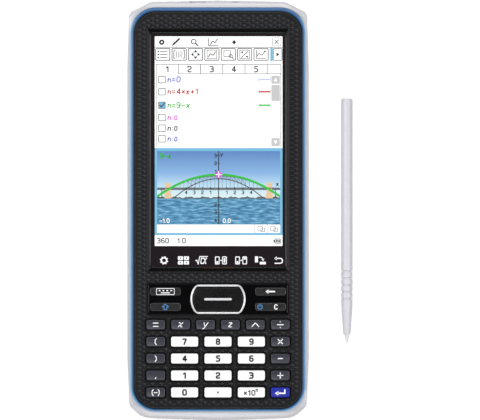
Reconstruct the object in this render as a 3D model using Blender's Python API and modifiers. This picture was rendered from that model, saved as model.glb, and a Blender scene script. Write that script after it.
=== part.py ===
"""Graphing calculator with a touch display, thirty keys, a cursor rocker and a stylus.

Units are metres. +Z points out of the front, +Y towards the display end, and the origin is
the middle of the flat back. The body is a silver rear shell, a blue trim band and a black
front shell, with the display, circuit board, rubber keypad and four cells held between them.
"""
import math

import bmesh
import bpy
from mathutils import Matrix, Vector

# Overall size and clearances
BODY_WIDTH = 0.0890
BODY_LENGTH = 0.2060
GAP = 0.0003  # between pieces that touch
OVERCUT = 0.0010  # how far a cutter runs past the face it opens

# Thicknesses, from the back to the front
COVER_THICKNESS = 0.0015
CELL_DIAMETER = 0.0103
BAY_ROOF = 0.0006
BOARD_THICKNESS = 0.0008
DISPLAY_THICKNESS = 0.0024
WINDOW_THICKNESS = 0.0012
WINDOW_DEPTH = 0.0016  # from the front face down to the window

# Shells
FLOOR = 0.0020
PLATE = 0.0025
SIDE_BORDER = 0.0015  # rear shell seen outside the band, at the sides
TOP_BORDER = 0.0035
BOTTOM_BORDER = 0.0046
BAND_SIDE = 0.0014
BAND_TOP = 0.0021
BAND_BOTTOM = 0.0015
BAND_CORNER = 0.0125
BAND_HEIGHT = 0.0039
BAND_FOOT = 0.0009  # upright outer face of the band
FACE_DROP = 0.0014  # rounded edge of the front shell, down to the band
FACE_ROUND = 0.0012
RIM_DROP = 0.0060  # front face down to the rear shell's rim
RIM_LEDGE = 0.0002  # rim seen outside the band's foot
SKIRT = 0.0015
SKIRT_LAP = 0.0006  # front shell's skirt inside the rear shell's rim
BELLY_DROP = 0.0040  # rim down to the widest level
SIDE_TAPER_TOP = 0.033  # end of the body to where its sides run straight
SIDE_TAPER_BOTTOM = 0.031
LOWER_CORNERS = ((0.0075, 0.0014, 0.009), (0.0010, 0.0073, 0.003))  # in from side, from end, radius
UPPER_CORNERS = ((0.0009, 0.0061, 0.003), (0.0116, 0.0006, 0.006))
CASE_LEVELS = ((0.0032, 0.0), (0.0012, 0.0010), (0.0003, 0.0032))  # inset and height
CASE_SHOULDER = (0.27, 0.80)  # share of the way in and of the way up
BAND_SHOULDER = (0.40, 0.75)
FACE_SHOULDER = (0.30, 0.65)
ARC_STEPS = 3  # facets in half a body corner

# Window and display
WINDOW_SIDE_MARGIN = 0.00815  # front shell's edge to the window
WINDOW_TOP_MARGIN = 0.0100
WINDOW_CORNER = 0.0010
RECESS_SLOPE = 0.0014  # how far the sloped surround widens upwards
DISPLAY_INSET = 0.0006  # window's edge in to the display module's edge
DISPLAY_LAP = 0.0008

# Function panel, its keys and the cursor rocker
PANEL_WIDTH_MARGIN = 0.0071
PANEL_LENGTH = 0.01505
PANEL_THICKNESS = 0.0008
PANEL_SINK = 0.0006  # panel's face below the front face
PANEL_CORNER = 0.0008
PANEL_TO_WINDOW = 0.00783
PANEL_TO_KEYS = 0.0025
FUNCTION_KEY_WIDTH = 0.0152
FUNCTION_KEY_LENGTH = 0.00395
FUNCTION_KEY_MARGIN = 0.0009  # panel's edge to the key's edge
FUNCTION_KEY_SHIFT = 0.00375
CURSOR_HALF_WIDTH = 0.01355
CURSOR_HALF_LENGTH = 0.0072
CURSOR_END_RADIUS = 0.0104
CURSOR_STROKE = 0.0011
CURSOR_ARC_STEPS = 8
CURSOR_CLEAR = 0.0005
RING_THICKNESS = 0.0008
RING_LIFT = 0.0008  # ring's underside above the panel
PAD_SINK = 0.0004  # pad's face below the ring's top
PAD_FLANGE = 0.0006
PAD_FLANGE_WIDTH = 0.0010
PAD_TILT_ROOM = 0.0008
PIVOT_RADIUS = 0.0020
PIVOT_HEIGHT = 0.0004

# Keypad
KEY_FIELD_MARGIN = 0.00627  # front shell's edge to the outer keys
KEY_BOTTOM_MARGIN = 0.0054  # front shell's lower edge to the lowest keys
ROW_PITCH = 0.00827
ROWS = 5
DARK_KEY_GAP = 0.00297
WHITE_KEY_GAP = 0.00272
ROW_GAP_DARK = 0.00347
ROW_GAP_WHITE = 0.00272
KEY_CORNER = 0.0009
KEY_RISE = 0.0007
KEY_TOP_BEVEL = 0.0004
KEY_CLEAR = 0.00035
KEY_FLANGE = 0.0006
KEY_FLANGE_HEIGHT = 0.0007
KEY_ARC_STEPS = 2
SHEET_THICKNESS = 0.0006
SHEET_EDGE = 0.0014
DOME_RADIUS = 0.0016
DOME_TOP_RADIUS = 0.0011
DOME_SIDES = 6

# Cells, contacts and the sliding cover
CELL_LENGTH = 0.0445
CELL_SPACE = 0.0005
CELL_LIFT = 0.0004  # cell above the cover
CELLS = 4
TERMINAL_RADIUS = 0.0019
TERMINAL_HEIGHT = 0.0010
CONTACT_REACH = 0.0032  # spring or button, from its plate to the cell
CONTACT_PLATE = 0.0005
CONTACT_HEIGHT = 0.0090
CONTACT_WIDTH = 0.0080
BUTTON_RADIUS = 0.0024
SPRING_BASE_RADIUS = 0.0036
SPRING_TIP_RADIUS = 0.0024
SPRING_WIRE = 0.0007
SPRING_TURNS = 2.25
SPRING_STEPS = 8
BAY_WALL = 0.0012
COVER_LAP = 0.0029  # cover past the bay, at the sides
COVER_END_LAP = 0.0020
COVER_DOVETAIL = 0.0012
COVER_END_INSET = 0.0038  # body's lower end to the cover's end
PLINTH_LAP = 0.0020
PLINTH_HEIGHT = 0.0032

# Stylus, and its channel in the back
STYLUS_LENGTH = 0.1200
STYLUS_DIAMETER = 0.0056
STYLUS_X = 0.0633
STYLUS_TIP_Y = -0.0649
STYLUS_GRIP_START = 0.0205
STYLUS_NECK_START = 0.0043
STYLUS_NECK_RADIUS = 0.00175
STYLUS_TIP_RADIUS = 0.0011
STYLUS_POINT_RADIUS = 0.0005
STYLUS_GROOVES = 5
STYLUS_GROOVE_PITCH = 0.0034
STYLUS_GROOVE_DEPTH = 0.0003
STYLUS_END_ROUND = 0.0005
CHANNEL_CLEAR = 0.0003
CHANNEL_END_CLEAR = 0.0010
CHANNEL_WALL = 0.0014
CHANNEL_SIDE_MARGIN = 0.0085  # body's side to the channel's middle
CHANNEL_TOP_MARGIN = 0.0105

# Screws, sockets and the restart button
SCREW_SHANK_RADIUS = 0.00075
SCREW_HEAD_RADIUS = 0.0020
SCREW_HEAD_HEIGHT = 0.0013
SCREW_LENGTH = 0.0116
SCREW_SINK = 0.0004
SCREW_SEAT = 0.0020  # back face down to the seat under the head
SCREW_PAD_RADIUS = 0.0030
SCREW_PAD_HEIGHT = 0.0040
BOSS_RADIUS = 0.0022
LOWER_SCREW_INSET = 0.0037
LOWER_SCREW_RISE = 0.0062
UPPER_SCREW_SIDE = 0.0063  # channel's wall to the screw's middle
UPPER_SCREW_DROP = 0.0048
BOARD_SIDE_MARGIN = 0.0078
BOARD_END_MARGIN = 0.0027
CHIP_SIZES = ((0.014, 0.014, 0.0012), (0.010, 0.008, 0.0010), (0.006, 0.009, 0.0010))
CHIP_PLACES = ((0.0, 0.040), (-0.018, 0.044), (0.016, 0.036))
SOCKET_X = -0.010
SOCKET_WIDTH = 0.0077
SOCKET_HEIGHT = 0.0036
SOCKET_DEPTH = 0.0092
SOCKET_WALL = 0.0004
SOCKET_REACH = 0.0068
JACK_X = 0.009
JACK_RADIUS = 0.0023
JACK_BORE = 0.0013
JACK_DEPTH = 0.0116
JACK_REACH = 0.0080
PORT_SINK = 0.0024  # ports' faces inside the body's top end
PORT_DROP = 0.0004  # board's underside down to the ports
RESTART_X = -0.030
RESTART_Y = -0.022
RESTART_RADIUS = 0.0012
RESTART_STEM_RADIUS = 0.0009
RESTART_FLANGE_RADIUS = 0.0020
RESTART_FLANGE_HEIGHT = 0.0008
RESTART_SINK = 0.0006
RESTART_TRAVEL = 0.0004
ROUND_STEPS = 12
CELL_STEPS = 16

# Flat cable between display and board
CABLE_WIDTH = 0.0160
CABLE_THICKNESS = 0.00025
CABLE_POINTS = 7
CABLE_BEND = 0.625  # share of the cable's run over which it drops to the board

# Levels, worked out from the thicknesses
CELL_Z = COVER_THICKNESS + CELL_LIFT + CELL_DIAMETER / 2
BAY_TOP = CELL_Z + CELL_DIAMETER / 2 + GAP
BOARD_Z = BAY_TOP + BAY_ROOF + GAP
BOARD_TOP = BOARD_Z + BOARD_THICKNESS
DISPLAY_Z = BOARD_TOP + GAP
WINDOW_Z = DISPLAY_Z + DISPLAY_THICKNESS + GAP
WINDOW_TOP_Z = WINDOW_Z + WINDOW_THICKNESS
FACE_Z = WINDOW_TOP_Z + WINDOW_DEPTH
PLATE_Z = FACE_Z - PLATE
RIM_Z = FACE_Z - RIM_DROP
SHEET_Z = BOARD_TOP + GAP
SHEET_TOP = SHEET_Z + SHEET_THICKNESS
FLANGE_TOP = PLATE_Z - GAP
FLANGE_Z = FLANGE_TOP - KEY_FLANGE_HEIGHT
PANEL_TOP_Z = FACE_Z - PANEL_SINK
PANEL_Z = PANEL_TOP_Z - PANEL_THICKNESS
PORT_TOP_Z = BOARD_Z - PORT_DROP

# Plan, worked out from the overall size
HALF_WIDTH = BODY_WIDTH / 2
HALF_LENGTH = BODY_LENGTH / 2
BAND_HALF = HALF_WIDTH - SIDE_BORDER
BAND_END_TOP = HALF_LENGTH - TOP_BORDER
BAND_END_BOTTOM = BOTTOM_BORDER - HALF_LENGTH
FRONT_HALF = BAND_HALF - BAND_SIDE - GAP
FRONT_TOP = BAND_END_TOP - BAND_TOP - GAP
FRONT_BOTTOM = BAND_END_BOTTOM + BAND_BOTTOM + GAP
FRONT_CORNER = BAND_CORNER - BAND_SIDE - GAP
SIDE_STRAIGHT_TOP = HALF_LENGTH - SIDE_TAPER_TOP
SIDE_STRAIGHT_BOTTOM = SIDE_TAPER_BOTTOM - HALF_LENGTH
KEY_FIELD_HALF = FRONT_HALF - KEY_FIELD_MARGIN
DARK_KEY_WIDTH = (2 * KEY_FIELD_HALF - 5 * DARK_KEY_GAP) / 6
DARK_KEY_LENGTH = ROW_PITCH - ROW_GAP_DARK
WHITE_FIELD_HALF = KEY_FIELD_HALF - DARK_KEY_WIDTH
WHITE_KEY_WIDTH = (2 * WHITE_FIELD_HALF - 4 * WHITE_KEY_GAP) / 3
WHITE_KEY_LENGTH = ROW_PITCH - ROW_GAP_WHITE
LOWEST_ROW_Y = FRONT_BOTTOM + KEY_BOTTOM_MARGIN + DARK_KEY_LENGTH / 2
TOP_ROW_Y = LOWEST_ROW_Y + (ROWS - 1) * ROW_PITCH
PANEL_Y = TOP_ROW_Y + DARK_KEY_LENGTH / 2 + PANEL_TO_KEYS + PANEL_LENGTH / 2
PANEL_HALF = FRONT_HALF - PANEL_WIDTH_MARGIN
WINDOW_BOTTOM = PANEL_Y + PANEL_LENGTH / 2 + PANEL_TO_WINDOW
WINDOW_TOP = FRONT_TOP - WINDOW_TOP_MARGIN
WINDOW_Y = (WINDOW_TOP + WINDOW_BOTTOM) / 2
WINDOW_LENGTH = WINDOW_TOP - WINDOW_BOTTOM
WINDOW_WIDTH = 2 * (FRONT_HALF - WINDOW_SIDE_MARGIN)
DISPLAY_WIDTH = WINDOW_WIDTH + 2 * DISPLAY_INSET
DISPLAY_LENGTH = WINDOW_LENGTH - 2 * DISPLAY_LAP
DISPLAY_BOTTOM = WINDOW_Y - DISPLAY_LENGTH / 2
SHEET_TOP_Y = PANEL_Y + PANEL_LENGTH / 2 - GAP
CABLE_RUN = DISPLAY_BOTTOM - SHEET_TOP_Y - 2 * GAP
CELL_PITCH = CELL_DIAMETER + CELL_SPACE
BAY_HALF = CELLS * CELL_PITCH / 2
BAY_LENGTH = CELL_LENGTH + 2 * (CONTACT_REACH + CONTACT_PLATE + 2 * GAP)
BAY_BOTTOM = FRONT_BOTTOM - GAP + BAY_WALL
BAY_Y = BAY_BOTTOM + BAY_LENGTH / 2
COVER_HALF = BAY_HALF + COVER_LAP
COVER_TOP = BAY_Y + BAY_LENGTH / 2 + COVER_END_LAP
COVER_BOTTOM = COVER_END_INSET - HALF_LENGTH
CHANNEL_WIDTH = STYLUS_DIAMETER + 2 * CHANNEL_CLEAR
CHANNEL_X = HALF_WIDTH - CHANNEL_SIDE_MARGIN
CHANNEL_LENGTH = STYLUS_LENGTH + 2 * CHANNEL_END_CLEAR
CHANNEL_Y = HALF_LENGTH - CHANNEL_TOP_MARGIN - CHANNEL_LENGTH / 2
UPPER_SCREW_X = CHANNEL_X - CHANNEL_WIDTH / 2 - CHANNEL_WALL - UPPER_SCREW_SIDE
UPPER_SCREW_Y = FRONT_TOP - UPPER_SCREW_DROP
LOWER_SCREW_X = FRONT_HALF - LOWER_SCREW_INSET
LOWER_SCREW_Y = FRONT_BOTTOM + LOWER_SCREW_RISE
SCREW_PLACES = ((UPPER_SCREW_X, UPPER_SCREW_Y), (-UPPER_SCREW_X, UPPER_SCREW_Y),
                (LOWER_SCREW_X, LOWER_SCREW_Y), (-LOWER_SCREW_X, LOWER_SCREW_Y))
PORT_FACE_Y = HALF_LENGTH - PORT_SINK

# Key names by row; None leaves the three middle columns to the white keys
TOP_ROW = ("key_equals", "key_x", "key_y", "key_z", "key_power", "key_divide")
SIDE_KEYS = (("key_bracket_open", "key_times"), ("key_bracket_close", "key_minus"),
             ("key_comma", "key_plus"), ("key_negative", "key_execute"))
WHITE_KEYS = (("key_7", "key_8", "key_9"), ("key_4", "key_5", "key_6"),
              ("key_1", "key_2", "key_3"), ("key_0", "key_point", "key_exponent"))
FUNCTION_KEYS = (("key_keyboard", -1, 1), ("key_shift", -1, -1),
                 ("key_backspace", 1, 1), ("key_clear", 1, -1))

# Colours, as linear red, green and blue, with roughness and metallic
SILVER = ((0.60, 0.58, 0.62), 0.35, 0.2)
BLUE = ((0.08, 0.19, 0.36), 0.25, 0.3)
BLACK = ((0.021, 0.021, 0.024), 0.5, 0.0)
GLOSS_BLACK = ((0.006, 0.006, 0.007), 0.08, 0.0)
WINDOW_TINT = ((0.02, 0.016, 0.019), 0.06, 0.0)
DISPLAY_WHITE = ((0.75, 0.80, 0.83), 0.3, 0.0)
KEY_GREY = ((0.045, 0.045, 0.06), 0.4, 0.0)
KEY_WHITE = ((0.85, 0.85, 0.86), 0.35, 0.0)
KEY_BLUE = ((0.026, 0.045, 0.35), 0.35, 0.0)
CHROME = ((0.75, 0.75, 0.76), 0.1, 1.0)
RUBBER = ((0.10, 0.10, 0.11), 0.8, 0.0)
BOARD_GREEN = ((0.02, 0.12, 0.05), 0.45, 0.0)
STEEL = ((0.45, 0.45, 0.46), 0.3, 1.0)
SLEEVE = ((0.10, 0.10, 0.12), 0.35, 0.4)
STYLUS_GREY = ((0.72, 0.70, 0.78), 0.35, 0.0)
CABLE_AMBER = ((0.35, 0.14, 0.03), 0.4, 0.0)


def clear_scene():
    for obj in list(bpy.data.objects):
        bpy.data.objects.remove(obj, do_unlink=True)


def collection(name):
    found = bpy.data.collections.get(name)
    if found is None:
        found = bpy.data.collections.new(name)
        bpy.context.scene.collection.children.link(found)
    return found


def add_object(name, mesh, look=None):
    """Link a part with its material, or a cutter when no look is given."""
    obj = bpy.data.objects.new(name, mesh)
    if look is None:
        obj.hide_render = True
        obj.display_type = "WIRE"
        collection("cutters").objects.link(obj)
        return obj
    material = bpy.data.materials.new(name)
    material.use_nodes = True
    shader = material.node_tree.nodes["Principled BSDF"]
    colour, roughness, metallic = look
    shader.inputs["Base Color"].default_value = (*colour, 1.0)
    shader.inputs["Roughness"].default_value = roughness
    shader.inputs["Metallic"].default_value = metallic
    mesh.materials.append(material)
    collection("graphing_calculator").objects.link(obj)
    return obj


def filleted(corners, steps):
    """Outline through corners (x, y, radius), anticlockwise; each round one gives steps + 1 points."""
    outline = []
    for index, (x, y, radius) in enumerate(corners):
        here = Vector((x, y))
        if radius == 0:
            outline.append(here)
            continue
        to_last = (Vector(corners[index - 1][:2]) - here).normalized()
        to_next = (Vector(corners[(index + 1) % len(corners)][:2]) - here).normalized()
        half_angle = to_last.angle(to_next) / 2
        centre = here + (to_last + to_next).normalized() * radius / math.sin(half_angle)
        spoke = here + to_last * radius / math.tan(half_angle) - centre
        turn = math.pi - 2 * half_angle
        for step in range(steps + 1):
            outline.append(centre + Matrix.Rotation(turn * step / steps, 2) @ spoke)
    return outline


def rectangle(width, length, radius=0.0, x=0.0, y=0.0, steps=KEY_ARC_STEPS):
    corners = [(x + sx * width / 2, y + sy * length / 2, radius)
               for sx, sy in ((1, 1), (-1, 1), (-1, -1), (1, -1))]
    return filleted(corners, steps)


def mirrored(bottom, right_side, top):
    """Closed anticlockwise corner list from the right side, listed bottom to top."""
    left_side = [(-x, y, radius) for x, y, radius in reversed(right_side)]
    return [(0, bottom, 0)] + right_side + [(0, top, 0)] + left_side


def round_ended(half_width, bottom, top, radius):
    """Body outline with plain round corners, each made of two half corners."""
    half_corner = radius * math.tan(math.pi / 8)
    right_side = [(half_width - radius + half_corner, bottom, radius),
                  (half_width, bottom + radius - half_corner, radius),
                  (half_width, SIDE_STRAIGHT_BOTTOM, 0),
                  (half_width, SIDE_STRAIGHT_TOP, 0),
                  (half_width, top - radius + half_corner, radius),
                  (half_width - radius + half_corner, top, radius)]
    return filleted(mirrored(bottom, right_side, top), ARC_STEPS)


def silhouette(inset):
    """Widest outline of the rear shell: chamfered top corners and rounder lower ones."""
    right_side = [(HALF_WIDTH - side, end - HALF_LENGTH, radius)
                  for side, end, radius in LOWER_CORNERS]
    right_side += [(HALF_WIDTH, SIDE_STRAIGHT_BOTTOM, 0), (HALF_WIDTH, SIDE_STRAIGHT_TOP, 0)]
    right_side += [(HALF_WIDTH - side, HALF_LENGTH - end, radius)
                   for side, end, radius in UPPER_CORNERS]
    outline = filleted(mirrored(-HALF_LENGTH, right_side, HALF_LENGTH), ARC_STEPS)
    scale = Vector((1 - inset / HALF_WIDTH, 1 - inset / HALF_LENGTH))
    return [point * scale for point in outline]


def blended(outline_a, outline_b, share):
    return [a.lerp(b, share) for a, b in zip(outline_a, outline_b)]


def level(outline, z):
    return [Vector((point.x, point.y, z)) for point in outline]


def add_loft(bm, rings, closed=False):
    """Skin rings of equal point counts; cap the two ends, or join the last to the first."""
    loops = [[bm.verts.new(point) for point in ring] for ring in rings]
    pairs = list(zip(loops, loops[1:]))
    if closed:
        pairs.append((loops[-1], loops[0]))
    else:
        bm.faces.new(reversed(loops[0]))
        bm.faces.new(loops[-1])
    for low, high in pairs:
        for index in range(len(low)):
            after = (index + 1) % len(low)
            bm.faces.new((low[index], low[after], high[after], high[index]))


def solid(name, ring_sets, look=None, closed=False):
    """One object from one loft, or from several that stand apart."""
    bm = bmesh.new()
    for rings in ring_sets:
        add_loft(bm, rings, closed)
    bmesh.ops.remove_doubles(bm, verts=bm.verts, dist=1e-6)
    bmesh.ops.dissolve_degenerate(bm, edges=bm.edges, dist=1e-6)
    bmesh.ops.recalc_face_normals(bm, faces=bm.faces)
    mesh = bpy.data.meshes.new(name)
    bm.to_mesh(mesh)
    bm.free()
    mesh.shade_smooth()
    mesh.set_sharp_from_angle(angle=math.radians(35))
    return add_object(name, mesh, look)


def prism(outline, low, high):
    return [level(outline, low), level(outline, high)]


def circle(radius, x=0.0, y=0.0, sides=ROUND_STEPS):
    angles = [2 * math.pi * index / sides for index in range(sides)]
    return [Vector((x + radius * math.cos(a), y + radius * math.sin(a))) for a in angles]


def turned(name, profile, look, steps=ROUND_STEPS):
    """Solid turned about its Z; the profile of (radius, z) runs down its outer side."""
    mesh = bpy.data.meshes.new(name)
    edges = [(index, index + 1) for index in range(len(profile) - 1)]
    mesh.from_pydata([(radius, 0, z) for radius, z in profile], edges, [])
    obj = add_object(name, mesh, look)
    screw = obj.modifiers.new("turn", "SCREW")
    screw.steps = steps
    screw.render_steps = steps
    screw.use_merge_vertices = True
    screw.merge_threshold = 1e-6
    screw.use_smooth_shade = True
    return obj


def combine(target, other, operation):
    modifier = target.modifiers.new(other.name, "BOOLEAN")
    modifier.operation = operation
    modifier.solver = "EXACT"
    modifier.object = other


def front_outline(grow=0.0):
    return round_ended(FRONT_HALF + grow, FRONT_BOTTOM - grow, FRONT_TOP + grow, FRONT_CORNER + grow)


def band_outline(grow=0.0):
    return round_ended(BAND_HALF + grow, BAND_END_BOTTOM - grow, BAND_END_TOP + grow,
                       BAND_CORNER + grow)


def rear_case():
    """Silver tub with the cell bay, the stylus channel, screw pads and port openings."""
    rim = band_outline(RIM_LEDGE)
    widest = silhouette(0)
    inner = front_outline(GAP)
    belly_z = RIM_Z - BELLY_DROP
    share_in, share_up = CASE_SHOULDER
    rings = [level(silhouette(inset), z) for inset, z in CASE_LEVELS]
    rings += [level(widest, belly_z),
              level(blended(widest, rim, share_in), belly_z + share_up * BELLY_DROP),
              level(rim, RIM_Z), level(inner, RIM_Z), level(inner, FLOOR)]
    case = solid("rear_case", [rings], SILVER)
    for part in (bay_plinth(), bay_walls(), channel_walls(), screw_pads()):
        combine(case, part, "UNION")
    for part in (cover_recess(), bay_cavity(), channel_cavity(), screw_holes(), port_openings()):
        combine(case, part, "DIFFERENCE")


def bay_plinth():
    half = COVER_HALF + COVER_DOVETAIL + PLINTH_LAP
    low = FRONT_BOTTOM + GAP
    high = COVER_TOP + PLINTH_LAP
    outline = rectangle(2 * half, high - low, y=(low + high) / 2)
    return solid("bay_plinth", [prism(outline, FLOOR / 2, PLINTH_HEIGHT)])


def bay_walls():
    outline = rectangle(2 * (BAY_HALF + BAY_WALL), BAY_LENGTH + 2 * BAY_WALL, y=BAY_Y)
    return solid("bay_walls", [prism(outline, FLOOR / 2, BAY_TOP + BAY_ROOF)])


def bay_cavity():
    outline = rectangle(2 * BAY_HALF, BAY_LENGTH, y=BAY_Y)
    return solid("bay_cavity", [prism(outline, -OVERCUT, BAY_TOP)])


def dovetail(half_width, bottom, top, low, high, grow):
    """Tapered plate rings, wider inside than at the back face, grown by a clearance."""
    outer = rectangle(2 * (half_width + grow), top - bottom, y=(top + bottom) / 2)
    inner = rectangle(2 * (half_width + COVER_DOVETAIL + grow), top - bottom, y=(top + bottom) / 2)
    return [level(outer, low), level(inner, high)]


def cover_recess():
    rings = dovetail(COVER_HALF, -HALF_LENGTH - OVERCUT, COVER_TOP + GAP, 0, COVER_THICKNESS, GAP)
    low, high = rings
    lid = [point + Vector((0, 0, GAP)) for point in high]
    foot = [point - Vector((0, 0, OVERCUT)) for point in low]
    return solid("cover_recess", [[foot, low, high, lid]])


def battery_cover():
    rings = dovetail(COVER_HALF, COVER_BOTTOM, COVER_TOP, 0, COVER_THICKNESS, 0)
    solid("battery_cover", [rings], SILVER)


def channel_walls():
    outline = rectangle(CHANNEL_WIDTH + 2 * CHANNEL_WALL, CHANNEL_LENGTH + 2 * CHANNEL_WALL,
                        x=CHANNEL_X, y=CHANNEL_Y - CHANNEL_WALL)
    top = CHANNEL_WIDTH + CHANNEL_WALL
    return solid("channel_walls", [prism(outline, FLOOR / 2, top)])


def channel_cavity():
    outline = rectangle(CHANNEL_WIDTH, CHANNEL_LENGTH, STYLUS_NECK_RADIUS, CHANNEL_X, CHANNEL_Y)
    return solid("channel_cavity", [prism(outline, -OVERCUT, CHANNEL_WIDTH)])


def screw_pads():
    pads = [prism(circle(SCREW_PAD_RADIUS, x, y), FLOOR / 2, SCREW_PAD_HEIGHT)
            for x, y in SCREW_PLACES]
    return solid("screw_pads", pads)


def screw_holes():
    """Stepped holes for the screws and a plain one for the restart button."""
    holes = []
    for x, y in SCREW_PLACES:
        head = circle(SCREW_HEAD_RADIUS + GAP, x, y)
        shank = circle(SCREW_SHANK_RADIUS + GAP, x, y)
        holes.append([level(head, -OVERCUT), level(head, SCREW_SEAT), level(shank, SCREW_SEAT),
                      level(shank, SCREW_PAD_HEIGHT + OVERCUT)])
    restart = circle(RESTART_RADIUS + GAP, RESTART_X, RESTART_Y)
    holes.append(prism(restart, -OVERCUT, FLOOR + OVERCUT))
    return solid("screw_holes", holes)


def upright_ring(outline, y):
    """Turn a flat outline (x, z) to stand across the body's length at y."""
    return [Vector((point.x, y, point.y)) for point in outline]


def port_openings():
    socket_z = PORT_TOP_Z - SOCKET_HEIGHT / 2
    socket = rectangle(SOCKET_WIDTH + 2 * GAP, SOCKET_HEIGHT + 2 * GAP, 0, SOCKET_X, socket_z)
    jack = circle(JACK_RADIUS + GAP, JACK_X, PORT_TOP_Z - JACK_RADIUS)
    low = FRONT_TOP - OVERCUT
    high = HALF_LENGTH + OVERCUT
    return solid("port_openings", [[upright_ring(shape, high), upright_ring(shape, low)]
                                   for shape in (socket, jack)])


def front_case():
    """Black front shell: skirt, rounded edge, window surround, key holes and screw bosses."""
    outer = front_outline()
    inner = front_outline(-SKIRT)
    skirt_z = RIM_Z - SKIRT_LAP
    edge_z = FACE_Z - FACE_DROP
    share_in, share_up = FACE_SHOULDER
    rings = [level(inner, PLATE_Z), level(inner, skirt_z), level(outer, skirt_z),
             level(outer, edge_z),
             level(front_outline(-share_in * FACE_ROUND), edge_z + share_up * FACE_DROP),
             level(front_outline(-FACE_ROUND), FACE_Z)]
    case = solid("front_case", [rings], BLACK)
    combine(case, screw_bosses(), "UNION")
    for part in (window_cut(), panel_pocket(), plate_holes(), boss_holes()):
        combine(case, part, "DIFFERENCE")


def screw_bosses():
    bosses = [prism(circle(BOSS_RADIUS, x, y), SCREW_PAD_HEIGHT + GAP, PLATE_Z + PLATE / 2)
              for x, y in SCREW_PLACES]
    return solid("screw_bosses", bosses)


def boss_holes():
    top = SCREW_SINK + SCREW_HEAD_HEIGHT + SCREW_LENGTH
    holes = [prism(circle(SCREW_SHANK_RADIUS + GAP, x, y), SCREW_PAD_HEIGHT - OVERCUT, top)
             for x, y in SCREW_PLACES]
    return solid("boss_holes", holes)


def window_cut():
    opening = rectangle(WINDOW_WIDTH + 2 * GAP, WINDOW_LENGTH + 2 * GAP, WINDOW_CORNER + GAP,
                        y=WINDOW_Y)
    widen = 2 * (GAP + RECESS_SLOPE)
    mouth = rectangle(WINDOW_WIDTH + widen, WINDOW_LENGTH + widen, WINDOW_CORNER + GAP, y=WINDOW_Y)
    rings = [level(opening, PLATE_Z - OVERCUT), level(opening, WINDOW_TOP_Z), level(mouth, FACE_Z),
             level(mouth, FACE_Z + OVERCUT)]
    return solid("window_cut", [rings])


def panel_pocket():
    outline = rectangle(2 * (PANEL_HALF + GAP), PANEL_LENGTH + 2 * GAP, PANEL_CORNER + GAP,
                        y=PANEL_Y)
    return solid("panel_pocket", [prism(outline, PANEL_Z - GAP, FACE_Z + OVERCUT)])


def dark_key_x(column):
    pitch = DARK_KEY_WIDTH + DARK_KEY_GAP
    return (column - 2.5) * pitch


def white_key_x(column):
    return (column - 1) * (WHITE_KEY_WIDTH + WHITE_KEY_GAP)


def key_places():
    """Every keypad key as (name, x, y, width, length, look)."""
    places = []
    for column, name in enumerate(TOP_ROW):
        places.append((name, dark_key_x(column), TOP_ROW_Y, DARK_KEY_WIDTH, DARK_KEY_LENGTH,
                       KEY_GREY))
    for row, (sides, whites) in enumerate(zip(SIDE_KEYS, WHITE_KEYS)):
        y = TOP_ROW_Y - (row + 1) * ROW_PITCH
        for name, column in zip(sides, (0, 5)):
            look = KEY_BLUE if name == "key_execute" else KEY_GREY
            places.append((name, dark_key_x(column), y, DARK_KEY_WIDTH, DARK_KEY_LENGTH, look))
        for column, name in enumerate(whites):
            places.append((name, white_key_x(column), y, WHITE_KEY_WIDTH, WHITE_KEY_LENGTH,
                           KEY_WHITE))
    return places


def function_key_places():
    x = PANEL_HALF - FUNCTION_KEY_MARGIN - FUNCTION_KEY_WIDTH / 2
    return [(name, side * x, PANEL_Y + end * FUNCTION_KEY_SHIFT, FUNCTION_KEY_WIDTH,
             FUNCTION_KEY_LENGTH, GLOSS_BLACK) for name, side, end in FUNCTION_KEYS]


def key_hole(place, low, high):
    name, x, y, width, length, look = place
    outline = rectangle(width + 2 * KEY_CLEAR, length + 2 * KEY_CLEAR, KEY_CORNER + KEY_CLEAR, x, y)
    return prism(outline, low, high)


def cursor_outline(inset):
    """Flat-sided outline with bulging ends, set in from the ring's outer edge."""
    radius = CURSOR_END_RADIUS - inset
    end_x = CURSOR_HALF_WIDTH - CURSOR_END_RADIUS
    sweep = math.asin((CURSOR_HALF_LENGTH - inset) / radius)
    outline = []
    for side in (1, -1):
        for step in range(CURSOR_ARC_STEPS + 1):
            angle = sweep * (2 * step / CURSOR_ARC_STEPS - 1)
            outline.append(Vector((side * (end_x + radius * math.cos(angle)),
                                   PANEL_Y + side * radius * math.sin(angle))))
    return outline


def cursor_hole(low, high):
    return prism(cursor_outline(CURSOR_STROKE + GAP - CURSOR_CLEAR), low, high)


def plate_holes():
    low = PLATE_Z - OVERCUT
    high = FACE_Z + OVERCUT
    holes = [key_hole(place, low, high) for place in key_places() + function_key_places()]
    return solid("plate_holes", holes + [cursor_hole(low, high)])


def key(place):
    """Cap with a bevelled top; tabs under the plate keep it in."""
    name, x, y, width, length, look = place
    side = rectangle(width, length, KEY_CORNER, x, y)
    tabs = rectangle(width, length + 2 * (KEY_CLEAR + KEY_FLANGE), KEY_CORNER, x, y)
    top = rectangle(width - 2 * KEY_TOP_BEVEL, length - 2 * KEY_TOP_BEVEL,
                    KEY_CORNER - KEY_TOP_BEVEL, x, y)
    top_z = FACE_Z + KEY_RISE
    rings = [level(tabs, FLANGE_Z), level(tabs, FLANGE_TOP), level(side, FLANGE_TOP),
             level(side, top_z - KEY_TOP_BEVEL), level(top, top_z)]
    obj = solid(name, [rings], look)
    place_origin(obj, Vector((x, y, FLANGE_Z)))


def place_origin(obj, origin):
    """Move an object's origin without moving its shape."""
    obj.data.transform(Matrix.Translation(-origin))
    obj.location = origin


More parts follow.
